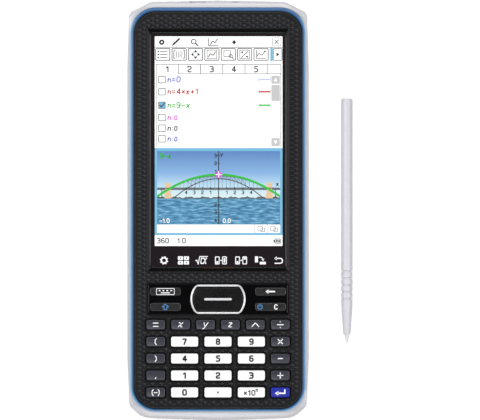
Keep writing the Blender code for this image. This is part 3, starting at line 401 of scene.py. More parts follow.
def upright(outline, y):
    """Turn a flat outline (x, z) to stand across the body's length at y."""
    return [Vector((point.x, y, point.y)) for point in outline]


def edge_arc(across, down=None, steps=EDGE_STEPS):
    """(inset, drop) pairs round an edge, from its side to its top."""
    down = across if down is None else down
    angles = [math.pi / 2 * step / steps for step in range(steps + 1)]
    return [(across * (1 - math.cos(angle)), down * (1 - math.sin(angle))) for angle in angles]


def prism(outline, low, high):
    return [level(outline, low), level(outline, high)]


def ring_prism(outer, inner, low, high):
    return [level(inner, low), level(outer, low), level(outer, high), level(inner, high)]


def add_loft(bm, rings, closed=False):
    """Skin rings of equal point counts; cap the two ends, or join the last to the first."""
    loops = [[bm.verts.new(point) for point in ring] for ring in rings]
    pairs = list(zip(loops, loops[1:]))
    if closed:
        pairs.append((loops[-1], loops[0]))
    else:
        bm.faces.new(reversed(loops[0]))
        bm.faces.new(loops[-1])
    for low, high in pairs:
        for index in range(len(low)):
            after = (index + 1) % len(low)
            bm.faces.new((low[index], low[after], high[after], high[index]))


def finished_mesh(bm, name):
    bmesh.ops.remove_doubles(bm, verts=bm.verts, dist=1e-7)
    bmesh.ops.dissolve_degenerate(bm, edges=bm.edges, dist=1e-7)
    bmesh.ops.recalc_face_normals(bm, faces=bm.faces)
    mesh = bpy.data.meshes.new(name)
    bm.to_mesh(mesh)
    bm.free()
    return smoothed(mesh)


def smoothed(mesh):
    mesh.shade_smooth()
    mesh.set_sharp_from_angle(angle=SMOOTH_ANGLE)
    return mesh


def lofted(name, ring_sets, closed=False):
    """One mesh from one loft, or from several that stand apart."""
    bm = bmesh.new()
    for rings in ring_sets:
        add_loft(bm, rings, closed)
    return finished_mesh(bm, name)


def turned(name, profile, steps=ROUND_STEPS):
    """Solid turned about Z from (radius, z) points that run down its outer side."""
    rings = [level(circle(max(radius, 1e-5), sides=steps), z) for radius, z in reversed(profile)]
    return lofted(name, [rings])


def link(name, mesh):
    obj = bpy.data.objects.new(name, mesh)
    bpy.context.scene.collection.objects.link(obj)
    return obj


def carved(obj, joined=(), cut=()):
    """Join and cut meshes into an object, and keep the plain result."""
    tools = [(mesh, "UNION") for mesh in joined] + [(mesh, "DIFFERENCE") for mesh in cut]
    others = []
    for mesh, operation in tools:
        other = link(mesh.name + "_tool", mesh)
        modifier = obj.modifiers.new(mesh.name, "BOOLEAN")
        modifier.operation = operation
        modifier.solver = "EXACT"
        modifier.object = other
        others.append(other)
    depsgraph = bpy.context.evaluated_depsgraph_get()
    result = bpy.data.meshes.new_from_object(obj.evaluated_get(depsgraph))
    obj.modifiers.clear()
    obj.data = smoothed(result)
    for other in others:
        bpy.data.objects.remove(other, do_unlink=True)
    return obj


def dress(obj, look, body="housing", stands_for=()):
    """Give an object its material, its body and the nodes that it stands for."""
    obj.data.materials.clear()
    for material in look if isinstance(look, (list, tuple)) else (look,):
        obj.data.materials.append(material)
    if stands_for:
        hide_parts(*stands_for)
    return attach(obj, body)


def place(name, mesh, look, body="housing", stands_for=()):
    return dress(link(name, mesh), look, body, stands_for)


# ---------------------------------------------------------------- drawn shapes

def ribbon(path, width, closed=False):
    """Shape of a line of even width: an outline with round ends, or a ring if it is closed."""
    half = width / 2
    count = len(path)
    left, right = [], []
    for index, point in enumerate(path):
        before = path[index - 1] if closed or index else point
        after = path[(index + 1) % count] if closed or index < count - 1 else point
        side = (after - before).normalized().orthogonal() * half
        left.append(point + side)
        right.append(point - side)
    if closed:
        return (right, left)
    outline = list(right)
    for end, start in ((path[-1], right[-1]), (path[0], left[0])):
        spoke = start - end
        outline += [end + Matrix.Rotation(math.pi * step / CORNER_STEPS, 2) @ spoke
                    for step in range(1, CORNER_STEPS)]
        if end is path[-1]:
            outline += reversed(left)
    return (outline,)


def stroke(points, width, radius=0.0):
    """Line of even width through points, with rounded corners; closed if it returns to its start."""
    closed = points[0] == points[-1]
    points = [Vector(point) for point in (points[:-1] if closed else points)]
    sides = [offset_side(points, width / 2, radius, side, closed) for side in (-1, 1)]
    if closed:
        return tuple(sides)
    right, left = sides
    outline = list(right)
    for end, start in ((points[-1], right[-1]), (points[0], left[0])):
        outline += [end + Matrix.Rotation(math.pi * step / CORNER_STEPS, 2) @ (start - end)
                    for step in range(1, CORNER_STEPS)]
        if end is points[-1]:
            outline += reversed(left)
    return (outline,)


def offset_side(points, half, radius, side, closed):
    """One side of a line, half its width away: 1 for its left, -1 for its right."""
    count = len(points)
    corners = []
    for index, here in enumerate(points):
        out = points[(index + 1) % count] - here
        into = here - points[index - 1]
        if not closed and index in (0, count - 1):
            along = out if index == 0 else into
            corners.append((*(here + along.normalized().orthogonal() * half * side), 0))
            continue
        half_angle = (-into).angle(out) / 2
        leg = min(into.length, out.length) * 0.49
        rounding = min(radius, leg * math.tan(half_angle))
        inside = 1 if (into.cross(out) > 0) == (side > 0) else -1
        inward = (out.normalized() - into.normalized()).normalized()
        corner = here + inward * inside * half / math.sin(half_angle)
        corners.append((*corner, max(rounding - half * inside, 1e-7)))
    return filleted(corners, CORNER_STEPS)


def hollow(outline, inner):
    return (outline, inner)


def written(text, x, y, height, weight, slant=0.0, spacing=0.32, middle=False, stretch=1.0):
    """Shapes of a line of signs; (x, y) is its start on the base line, or its middle."""
    widths = [SIGNS[sign][0] * stretch for sign in text]
    total = sum(widths) + spacing * (len(text) - 1)
    pen = -total / 2 if middle else 0.0
    base = -0.5 if middle else 0.0
    shapes = []
    for sign, width in zip(text, widths):
        rounding = SOFT_CORNER if sign in SOFT_SIGNS else SHARP_CORNER
        for points in SIGNS[sign][1]:
            placed = [(x + height * (pen + px * stretch + slant * py), y + height * (base + py))
                      for px, py in points]
            shapes.append(stroke(placed, weight * height, rounding * height))
        pen += width + spacing
    return shapes


def drawn(name, shapes, low, look, body="housing", thickness=LEGEND_THICKNESS):
    """Flat shapes as one thin piece that lies on a surface."""
    bm = bmesh.new()
    for shape in shapes:
        if len(shape) == 1:
            add_loft(bm, prism(shape[0], low, low + thickness))
        else:
            add_loft(bm, ring_prism(shape[0], shape[1], low, low + thickness), True)
    mesh = finished_mesh(bm, name)
    return place(name, mesh, look, body)


# ---------------------------------------------------------------- materials

class Finish:
    """A material whose colour, gloss and grain come from procedural textures."""

    def __init__(self, name, roughness, metallic=0.0, coat=0.0, specular=0.5):
        self.material = bpy.data.materials.new(name)
        self.material.use_nodes = True
        self.tree = self.material.node_tree
        self.shader = self.tree.nodes["Principled BSDF"]
        self.shader.inputs["Metallic"].default_value = metallic
        self.shader.inputs["Roughness"].default_value = roughness
        self.shader.inputs["Coat Weight"].default_value = coat
        self.shader.inputs["Coat Roughness"].default_value = 0.05
        self.shader.inputs["Specular IOR Level"].default_value = specular
        self.coordinates = self.tree.nodes.new("ShaderNodeTexCoord").outputs["Object"]

    def scaled(self, scale):
        """Coordinates stretched by different factors along the axes."""
        mapping = self.tree.nodes.new("ShaderNodeMapping")
        mapping.inputs["Scale"].default_value = scale
        self.tree.links.new(self.coordinates, mapping.inputs["Vector"])
        return mapping.outputs["Vector"]

    def noise(self, scale, detail=2.0, stretch=None):
        node = self.tree.nodes.new("ShaderNodeTexNoise")
        node.inputs["Scale"].default_value = scale
        node.inputs["Detail"].default_value = detail
        source = self.scaled(stretch) if stretch else self.coordinates
        self.tree.links.new(source, node.inputs["Vector"])
        return node.outputs["Fac"]

    def along(self, axis, low, high):
        """0 to 1 along an axis of the piece, from low to high."""
        split = self.tree.nodes.new("ShaderNodeSeparateXYZ")
        self.tree.links.new(self.coordinates, split.inputs["Vector"])
        return self.ranged(split.outputs[axis], low, high, 0.0, 1.0)

    def ranged(self, value, low, high, to_low, to_high):
        node = self.tree.nodes.new("ShaderNodeMapRange")
        for socket, number in zip(("From Min", "From Max", "To Min", "To Max"),
                                  (low, high, to_low, to_high)):
            node.inputs[socket].default_value = number
        self.tree.links.new(value, node.inputs["Value"])
        return node.outputs["Result"]

    def ramp(self, value, stops):
        node = self.tree.nodes.new("ShaderNodeValToRGB")
        elements = node.color_ramp.elements
        while len(elements) < len(stops):
            elements.new(0.5)
        for element, (position, colour) in zip(elements, stops):
            element.position = position
            element.color = (*colour, 1.0)
        self.tree.links.new(value, node.inputs["Fac"])
        return node.outputs["Color"]

    def coloured(self, output):
        self.tree.links.new(output, self.shader.inputs["Base Color"])
        return self

    def mottled(self, colour, spread=0.08, scale=600.0):
        """Base colour that wanders a little lighter and darker."""
        dark = [value * (1 - spread) for value in colour]
        light = [min(1.0, value * (1 + spread)) for value in colour]
        return self.coloured(self.ramp(self.noise(scale, 3.0), ((0.3, dark), (0.7, light))))

    def uneven_gloss(self, low, high, scale=900.0):
        value = self.ranged(self.noise(scale, 3.0), 0.3, 0.7, low, high)
        self.tree.links.new(value, self.shader.inputs["Roughness"])
        return self

    def grained(self, height, scale, detail=2.0, stretch=None):
        """Fine bumps, with their height in metres."""
        bump = self.tree.nodes.new("ShaderNodeBump")
        bump.inputs["Strength"].default_value = 1.0
        bump.inputs["Distance"].default_value = height
        self.tree.links.new(self.noise(scale, detail, stretch), bump.inputs["Height"])
        self.tree.links.new(bump.outputs["Normal"], self.shader.inputs["Normal"])
        return self

    def glowing(self, colour, strength):
        self.shader.inputs["Emission Color"].default_value = (*colour, 1.0)
        self.shader.inputs["Emission Strength"].default_value = strength
        return self


def plastic(name, colour, roughness, grain=0.000004, spread=0.06, coat=0.0, specular=0.5):
    """Moulded plastic with a fine spark texture."""
    finish = Finish(name, roughness, coat=coat, specular=specular)
    finish.mottled(colour, spread).uneven_gloss(roughness * 0.85, min(1.0, roughness * 1.15))
    return finish.grained(grain, 2600.0).material


def metal(name, colour, roughness, stretch=(1.0, 1.0, 1.0)):
    """Plated metal with faint directional brushing."""
    finish = Finish(name, roughness, metallic=1.0)
    finish.mottled(colour, 0.05, 300.0).uneven_gloss(roughness * 0.8, roughness * 1.25)
    return finish.grained(0.000002, 1800.0, 3.0, stretch).material


def ink(name, colour, glow=0.0):
    """Printed or lit marking."""
    finish = Finish(name, 0.45)
    finish.mottled(colour, 0.03, 1500.0)
    if glow:
        finish.glowing(colour, glow)
    return finish.material


def silver_look():
    finish = Finish("silver_shell", 0.38, metallic=0.1)
    finish.mottled((0.66, 0.65, 0.675), 0.04, 2500.0).uneven_gloss(0.34, 0.44)
    return finish.grained(0.000003, 3500.0).material


def trim_look():
    """Tinted clear plastic with painted light: a painted reflection keeps the sides and the lower end paler,
    the display end is deep blue with a painted highlight line, and painted shade darkens the inner edge by
    the front shell to near black.
    """
    finish = Finish("blue_trim", 0.35, specular=0.2)
    height = finish.along("Z", BAND_LOW.z, BAND_HIGH.z)
    # Sides and lower end: pale painted reflection at the foot, then painted shade towards the front shell
    sides = ((0.0, (0.36, 0.62, 0.92)), (0.62, (0.36, 0.64, 0.93)), (0.84, (0.18, 0.42, 0.72)),
             (0.95, (0.025, 0.10, 0.24)), (1.0, (0.003, 0.015, 0.045)))
    # Display end: deep blue with a painted highlight line, then painted shade towards the front shell
    ends = ((0.0, (0.022, 0.10, 0.25)), (0.72, (0.026, 0.11, 0.27)), (0.87, (0.075, 0.23, 0.50)),
            (0.955, (0.014, 0.07, 0.19)), (1.0, (0.002, 0.012, 0.04)))
    blend = finish.tree.nodes.new("ShaderNodeMix")
    blend.data_type = "RGBA"
    finish.tree.links.new(finish.along("Y", 0.089, 0.097), blend.inputs[0])
    finish.tree.links.new(finish.ramp(height, sides), blend.inputs[6])
    finish.tree.links.new(finish.ramp(height, ends), blend.inputs[7])
    return finish.coloured(blend.outputs[2]).grained(0.000002, 900.0).material


def black_look():
    finish = Finish("black_shell", 0.5, specular=0.2)
    finish.mottled((0.0035, 0.0035, 0.004), 0.2, 1800.0).uneven_gloss(0.42, 0.6)
    return finish.grained(0.00002, 2400.0, 4.0).material


def relief_look():
    # The tiles are the face's own black plastic, painted lighter as a painted highlight of their lit tops
    finish = Finish("black_relief", 0.45, specular=0.3)
    finish.mottled((0.028, 0.028, 0.034), 0.25, 1500.0).uneven_gloss(0.38, 0.52)
    return finish.grained(0.00001, 3000.0).material


def sky_look():
    finish = Finish("picture_sky", 0.4)
    height = finish.along("Y", spot(0, 79.5).y, spot(0, 56).y)
    stops = ((0.0, (0.66, 0.78, 0.76)), (0.22, (0.48, 0.68, 0.78)), (0.55, (0.20, 0.38, 0.64)),
             (1.0, (0.08, 0.19, 0.45)))
    return finish.coloured(finish.ramp(height, stops)).glowing((0.3, 0.45, 0.7), 0.05).material


def water_look():
    """Ripples that run across the picture."""
    finish = Finish("picture_water", 0.4)
    ripples = finish.noise(260.0, 4.0, (1.0, 5.0, 1.0))
    stops = ((0.30, (0.02, 0.10, 0.22)), (0.45, (0.05, 0.19, 0.33)), (0.58, (0.11, 0.32, 0.50)),
             (0.72, (0.30, 0.52, 0.68)))
    return finish.coloured(finish.ramp(ripples, stops)).glowing((0.06, 0.2, 0.33), 0.12).material


def dark_key_look():
    """Key plastic with a painted highlight along each row's lower edges and painted shade that darkens
    towards the keys' tops.
    """
    finish = Finish("dark_key", 0.38)
    split = finish.tree.nodes.new("ShaderNodeSeparateXYZ")
    finish.tree.links.new(finish.coordinates, split.inputs["Vector"])
    rows = finish.ranged(split.outputs["Y"], KEY_FOOT_Y, KEY_FOOT_Y + ROW_PITCH, 0.0, 1.0)
    finish.tree.nodes[-1].clamp = False
    place_in_row = finish.tree.nodes.new("ShaderNodeMath")
    place_in_row.operation = "FRACT"
    finish.tree.links.new(rows, place_in_row.inputs[0])
    # painted highlight at each key's lower edge, fading to painted shade towards its top
    stops = ((0.06, (0.15, 0.15, 0.16)), (0.15, (0.040, 0.040, 0.056)), (0.62, (0.023, 0.023, 0.036)))
    finish.coloured(finish.ramp(place_in_row.outputs["Value"], stops))
    return finish.grained(0.000002, 2600.0).material


def white_key_look():
    """White key plastic, with painted shade that turns its sides near black below the face level."""
    finish = Finish("white_key", 0.45)
    height = finish.along("Z", FACE_Z - 0.0010, FACE_Z)
    # painted shade on the key's sides below the face
    finish.coloured(finish.ramp(height, ((0.6, (0.015, 0.015, 0.016)), (0.9, (0.93, 0.93, 0.93)))))
    return finish.grained(0.000001, 2600.0).material


def board_look():
    """Green solder mask with paler copper tracks."""
    finish = Finish("circuit_board", 0.35)
    tracks = finish.tree.nodes.new("ShaderNodeTexWave")
    tracks.bands_direction = "DIAGONAL"
    tracks.inputs["Scale"].default_value = 320.0
    tracks.inputs["Distortion"].default_value = 6.0
    finish.tree.links.new(finish.coordinates, tracks.inputs["Vector"])
    stops = ((0.55, (0.012, 0.09, 0.035)), (0.65, (0.03, 0.19, 0.07)))
    return finish.coloured(finish.ramp(tracks.outputs["Fac"], stops)).material


def sleeve_look():
    """Cell sleeve: dark. The copper-coloured shoulder at the raised end has a look of its own."""
    finish = Finish("cell_sleeve", 0.28, metallic=0.5)
    finish.mottled((0.06, 0.065, 0.08), 0.12, 500.0)
    return finish.material


def make_looks():
    return {
        "silver": silver_look(),
        "trim": trim_look(),
        "black": black_look(),
        "relief": relief_look(),
        # Window surround: the side walls are painted lighter as painted light, the end walls near black as
        # painted shade; the same painted shade rings each key hole
        "painted_light_wall": plastic("painted_light_wall", (0.030, 0.031, 0.033), 0.6, specular=0.2),
        "painted_shade_black": plastic("painted_shade_black", (0.002, 0.002, 0.002), 0.7, specular=0.1),
        "glass": plastic("window_border", (0.015, 0.011, 0.0135), 0.12, 0.0000005, coat=0.3,
                         specular=0.3),
        "panel": plastic("gloss_panel", (0.0022, 0.0022, 0.0026), 0.12, 0.0000005, specular=0.4),
        "panel_edge": plastic("panel_edge", (0.035, 0.036, 0.04), 0.3),
        "function_key": plastic("function_key", (0.015, 0.015, 0.016), 0.3),
        "pad": plastic("cursor_pad", (0.0042, 0.0042, 0.0046), 0.3, 0.0000003, specular=0.3),
        "mark": plastic("cursor_marks", (0.002, 0.002, 0.002), 0.6, specular=0.1),
        "dark_key": dark_key_look(),
        "white_key": white_key_look(),
        "blue_key": plastic("blue_key", (0.012, 0.021, 0.33), 0.4, specular=0.3),
        "chrome": Finish("chrome_trim", 0.3, metallic=0.35).mottled((0.72, 0.72, 0.73), 0.03).material,
        "bar": Finish("cursor_bar", 0.3, metallic=0.1).mottled((0.72, 0.72, 0.74), 0.03).material,
        "steel": metal("plated_steel", (0.55, 0.55, 0.56), 0.3, (1.0, 6.0, 1.0)),
        "brass": metal("contact_gold", (0.72, 0.52, 0.2), 0.3),
        "rubber": plastic("grey_rubber", (0.09, 0.09, 0.10), 0.8, 0.00001),
        "board": board_look(),
        "cable": plastic("flat_cable", (0.35, 0.14, 0.03), 0.35),
        "module": plastic("display_module", (0.45, 0.46, 0.47), 0.4),
        "sleeve": sleeve_look(),
        "shoulder": metal("cell_shoulder", (0.60, 0.30, 0.12), 0.3),
        "stylus": plastic("stylus_plastic", (0.63, 0.62, 0.66), 0.4, 0.000001, 0.02),
        "tip": plastic("stylus_tip", (0.72, 0.72, 0.74), 0.3),
        "ink_white": ink("ink_white", (0.92, 0.92, 0.93)),
        "ink_dark": ink("ink_dark", (0.012, 0.012, 0.013)),
        "ink_blue": ink("ink_blue", (0.055, 0.20, 0.42)),
        "screen": ink("screen_white", (0.93, 0.94, 0.93), 0.12),
        "screen_dark": ink("screen_dark", (0.012, 0.012, 0.012)),
        "screen_grey": ink("screen_grey", (0.11, 0.11, 0.11)),
        "screen_pale": ink("screen_pale", (0.52, 0.52, 0.52)),
        "screen_cyan": ink("screen_cyan", (0.15, 0.42, 0.62), 0.08),
        "screen_blue": ink("screen_blue", (0.11, 0.12, 0.55)),
        "screen_red": ink("screen_red", (0.50, 0.03, 0.03)),
        "screen_green": ink("screen_green", (0.02, 0.44, 0.03), 0.08),
        "screen_magenta": ink("screen_magenta", (0.60, 0.06, 0.60), 0.08),
        "stone": ink("picture_stone", (0.72, 0.50, 0.30)),
        "sky": sky_look(),
        "water": water_look(),
    }


# ---------------------------------------------------------------- display drawing, in millimetres

def spot(u, v):
    """Point of the display, u units from its left side and v millimetres down from its top."""
    return Vector((SCREEN_LEFT + u / SCREEN_UNITS * SCREEN_WIDTH, SCREEN_TOP - v * MM))


def flat_points(points):
    return [tuple(spot(u, v)) for u, v in points]


def line(points, width, radius=0.0):
    return stroke(flat_points(points), width * MM, radius * MM)


def pane(left, top, right, bottom, radius=0.0):
    middle = spot((left + right) / 2, (top + bottom) / 2)
    width = spot(right, top).x - spot(left, top).x
    return (rectangle(width, (bottom - top) * MM, radius * MM, middle.x, middle.y),)


def border(left, top, right, bottom, width, radius=0.0):
    """Hollow rectangle whose outer side is given."""
    outer = pane(left, top, right, bottom, radius)[0]
    inner = pane(left + width, top + width, right - width, bottom - width,
                 max(radius - width, 0.01) if radius else 0.0)[0]
    return hollow(outer, inner)


def polygon(points):
    corners = [spot(u, v) for u, v in points]
    area = sum(a.cross(b) for a, b in zip(corners, corners[1:] + corners[:1]))
    return (corners if area > 0 else corners[::-1],)


def text(signs, u, v, height, weight=0.18, slant=0.0, spacing=0.32, middle=False):
    start = spot(u, v)
    return written(signs, start.x, start.y, height * MM, weight, slant, spacing, middle)


def dot(u, v, radius):
    middle = spot(u, v)
    return (circle(radius * MM, middle.x, middle.y, 24),)


def ring(u, v, radius, width):
    middle = spot(u, v)
    return hollow(circle(radius * MM, middle.x, middle.y, 24),
                  circle((radius - width) * MM, middle.x, middle.y, 24))


TOOL_LEFT, TOOL_TOP, TOOL_WIDTH, TOOL_HEIGHT, TOOL_PITCH = 0.25, 5.8, 7.4, 6.1, 8.08
TAB_LEFT, TAB_TOP, TAB_BOTTOM, TAB_PITCH, TABS = 0.7, 13.8, 18.3, 10.95, 5
ROW_MIDDLES = (21.2, 27.1, 33.7, 39.7, 44.9, 50.1)
ROW_SIGNS = ("n=0", "n=4*x+1", "n=9-x", "n:#", "n:#", "n:#")
ROW_LOOKS = ("screen_blue", "screen_red", "screen_green", "screen_magenta", "screen_dark",
             "screen_blue")
PICTURE = (1.15, 56.1, 61.85, 92.0)  # left, top, right, bottom
WATER_TOP = 79.2
CURVE_TOP = 67.6
CURVE_END = 78.0
MIDDLE = (PICTURE[0] + PICTURE[2]) / 2


def menu_bar():
    """Ring, pencil, magnifier, chart, diamond and closing box."""
    dark = [ring(3.45, 2.9, 1.3, 0.8)]
    dark += [line([(9.0, 4.2), (8.6, 4.9)], 0.3), line([(9.2, 3.9), (12.0, 1.3)], 0.85)]
    dark += [ring(19.2, 2.6, 1.35, 0.42), line([(20.2, 3.5), (21.3, 4.6)], 0.55)]
    dark += [line([(26.6, 1.2), (26.6, 4.6), (31.0, 4.6)], 0.35),
             line([(27.5, 3.9), (28.6, 2.2), (29.6, 3.2), (30.9, 1.3)], 0.4, 0.2)]
    dark.append(polygon([(38.1, 2.9), (39.15, 1.8), (40.2, 2.9), (39.15, 4.0)]))
    dark += [line([(59.1, 1.7), (61.1, 3.7)], 0.32), line([(61.1, 1.7), (59.1, 3.7)], 0.32)]
    return dark


def tool_icons():
    """A sign for each toolbar button, round the button's middle."""
    middles = [(TOOL_LEFT + TOOL_WIDTH / 2 + index * TOOL_PITCH, TOOL_TOP + TOOL_HEIGHT / 2)
               for index in range(7)]
    dark = []
    u, v = middles[0]
    for side in (-1.5, 0.0, 1.5):
        dark += [dot(u - 2.2, v + side, 0.4), line([(u - 1.2, v + side), (u + 2.2, v + side)], 0.35)]
    u, v = middles[1]
    dark += [line([(u + side * 2.0, v - 1.9), (u + side * 2.6, v - 1.9), (u + side * 2.6, v + 1.9),
                   (u + side * 2.0, v + 1.9)], 0.35) for side in (-1, 1)]
    dark += [line([(u + step, v - 1.5), (u + step, v + 1.5)], 0.25)
             for step in (-1.3, -0.45, 0.45, 1.3)]
    u, v = middles[2]
    for turn in range(4):
        arrow = [Matrix.Rotation(turn * math.pi / 2, 2) @ Vector(point)
                 for point in ((0, -2.2), (0.95, -1.0), (-0.95, -1.0))]
        dark.append(polygon([(u + point.x, v + point.y) for point in arrow]))
    u, v = middles[3]
    dark += [border(u - 2.5, v - 2.2, u + 2.5, v + 2.2, 0.25),
             line([(u - 1.7, v + 1.3), (u - 0.6, v - 1.0), (u + 0.5, v + 1.0), (u + 1.7, v - 1.3)],
                  0.4, 0.8)]
    u, v = middles[4]
    dark += [border(u - 2.3, v - 1.9, u + 1.3, v + 1.1, 0.28), ring(u + 1.2, v + 0.8, 0.95, 0.3),
             line([(u + 1.9, v + 1.5), (u + 2.5, v + 2.1)], 0.4)]
    u, v = middles[5]
    dark += [border(u - 2.5, v - 2.2, u + 2.5, v + 2.2, 0.25),
             line([(u - 1.6, v + 1.5), (u + 1.6, v - 1.5)], 0.35)]
    dark += [polygon([(u - 1.9, v - 0.7), (u - 0.5, v - 0.7), (u - 1.2, v - 1.7)]),
             polygon([(u + 0.5, v + 0.7), (u + 1.9, v + 0.7), (u + 1.2, v + 1.7)])]
    u, v = middles[6]
    dark += [line([(u - 2.3, v - 2.1), (u - 2.3, v + 1.9), (u + 2.5, v + 1.9)], 0.28),
             line([(u - 1.9, v + 0.8), (u - 1.0, v - 1.0), (u + 0.1, v + 0.9), (u + 1.9, v - 1.6)],
                  0.35, 0.7),
             dot(u + 1.9, v - 1.5, 0.4)]
    dark.append(polygon([(60.0, TOOL_TOP + 2.0), (61.5, TOOL_TOP + 3.05), (60.0, TOOL_TOP + 4.1)]))
    return dark


def tool_frames():
    frames = [border(TOOL_LEFT + index * TOOL_PITCH, TOOL_TOP,
                     TOOL_LEFT + index * TOOL_PITCH + TOOL_WIDTH, TOOL_TOP + TOOL_HEIGHT, 0.42, 0.5)
              for index in range(7)]
    frames.append(border(58.3, TOOL_TOP, 62.9, TOOL_TOP + TOOL_HEIGHT, 0.36, 0.5))
    frames.append(pane(0.0, 5.35, SCREEN_UNITS, 5.6))
    frames.append(border(57.9, 0.6, 62.3, 4.75, 0.2, 0.7))
    return frames


def tab_frames():
    """Five tabs; the line under the first is open, because it is the chosen one."""
    grey = [line([(TAB_LEFT, 54.0), (TAB_LEFT, TAB_TOP), (62.2, TAB_TOP), (62.2, 54.0)], 0.26),
            line([(TAB_LEFT + TAB_PITCH, TAB_BOTTOM), (62.2, TAB_BOTTOM)], 0.26)]
    grey += [line([(TAB_LEFT + index * TAB_PITCH, TAB_TOP), (TAB_LEFT + index * TAB_PITCH, TAB_BOTTOM)],
                  0.32) for index in range(1, TABS + 1)]
    return grey


def check_boxes():
    return [border(1.75, middle - 1.75, 5.35, middle + 1.75, 0.34, 0.2) for middle in ROW_MIDDLES]


def style_marks(middle, weight):
    """Sample of the line that a row is drawn with, between end marks."""
    return [line([(51.9, middle), (56.4, middle)], weight),
            line([(51.4, middle - 0.8), (51.4, middle + 0.8)], 0.3),
            line([(56.9, middle - 0.8), (56.9, middle + 0.8)], 0.3)]


def arch(half_span, foot, crown, share_low=-1.0, share_high=1.0, steps=28):
    """Points along a parabola over the picture's middle."""
    shares = [share_low + (share_high - share_low) * step / steps for step in range(steps + 1)]
    return [spot(MIDDLE + half_span * share, crown + (foot - crown) * share ** 2) for share in shares]


# The bridge's two chords: half span, foot and crown
LOWER_CHORD = (21.5, 78.6, 69.6)
UPPER_CHORD = (23.6, 74.2, 68.2)
HANGER_PITCH = 1.9
HANGER_FOOT = 73.9


def chord_height(chord, offset):
    half_span, foot, crown = chord
    return crown + (foot - crown) * (offset / half_span) ** 2


def bridge():
    """A plain arch bridge: two chords with a web between them, hangers, deck and approach piers."""
    dark = [ribbon(arch(*LOWER_CHORD), 0.5 * MM), ribbon(arch(*UPPER_CHORD), 0.4 * MM)]
    dark += [pane(PICTURE[0], 74.5, PICTURE[2], 75.1)]
    last = None
    for index in range(-11, 12):
        offset = index * HANGER_PITCH
        low = chord_height(LOWER_CHORD, offset)
        high = chord_height(UPPER_CHORD, offset)
        dark.append(line([(MIDDLE + offset, high), (MIDDLE + offset, min(low, HANGER_FOOT))], 0.16))
        if last and low < HANGER_FOOT:
            dark.append(line([last, (MIDDLE + offset, low)], 0.16))
        if low < HANGER_FOOT:
            dark.append(line([(MIDDLE + offset, low), (MIDDLE + offset, HANGER_FOOT)], 0.14))
        last = (MIDDLE + offset, high)
    for index in range(-7, 8):
        if abs(index) > 5:
            dark.append(line([(MIDDLE + index * 4.0, 74.8), (MIDDLE + index * 4.0, 78.9)], 0.4))
    return dark


def piers():
    stone = []
    for side in (-1, 1):
        u = MIDDLE + side * 25.0
        stone += [pane(u - 1.3, 72.3, u + 1.3, 76.8), pane(u - 1.6, 71.7, u + 1.6, 72.3),
                  pane(u - 1.7, 76.8, u + 1.7, 79.2)]
    return stone


def shore():
    """Low uneven land along the water's edge."""
    left, right = PICTURE[0], PICTURE[2]
    steps = 60
    top = [(left + (right - left) * step / steps,
            WATER_TOP - 0.55 - 0.3 * math.sin(step * 0.9) - 0.25 * math.sin(step * 2.3 + 1))
           for step in range(steps + 1)]
    return [polygon([(left, WATER_TOP + 0.1)] + top + [(right, WATER_TOP + 0.1)])]


def green_curve():
    half = (PICTURE[2] - PICTURE[0]) / 2 - 0.5
    return [ribbon(arch(half, CURVE_END, CURVE_TOP), 1.05 * MM)]


def axes():
    dark = [pane(MIDDLE - 0.2, PICTURE[1], MIDDLE + 0.2, 74.0),
            pane(PICTURE[0], 74.0, PICTURE[2], 74.4),
            pane(MIDDLE - 0.2, 74.4, MIDDLE + 0.2, PICTURE[3])]
    for index in range(1, 5):
        for side in (-1, 1):
            u = MIDDLE + side * index * 4.0
            dark.append(line([(u, 73.7), (u, 74.8)], 0.25))
            dark += text(str(index), u, 76.3, 1.5, 0.22, middle=True)
    for index, v in ((1, 66.1), (2, 62.1), (3, 58.3), (2, 82.1), (3, 86.0), (4, 90.0)):
        dark += text(str(index), MIDDLE - 1.5, v, 1.5, 0.22, middle=True)
        dark.append(line([(MIDDLE - 0.5, v), (MIDDLE + 0.5, v)], 0.25))
    return dark + text("x", 60.0, 73.0, 1.8, 0.2) + text("y", MIDDLE + 1.0, 58.4, 1.8, 0.2)


def status_bar():
    dark = text("360", 1.3, 101.0, 2.2, 0.19) + text("1.0", 11.3, 101.0, 2.2, 0.19)
    dark += [border(59.1, 98.9, 62.3, 101.3, 0.32, 0.6), pane(58.6, 99.6, 59.2, 100.6)]
    dark += [pane(u, 99.5, u + 0.5, 100.7) for u in (59.8, 60.5, 61.2)]
    return dark


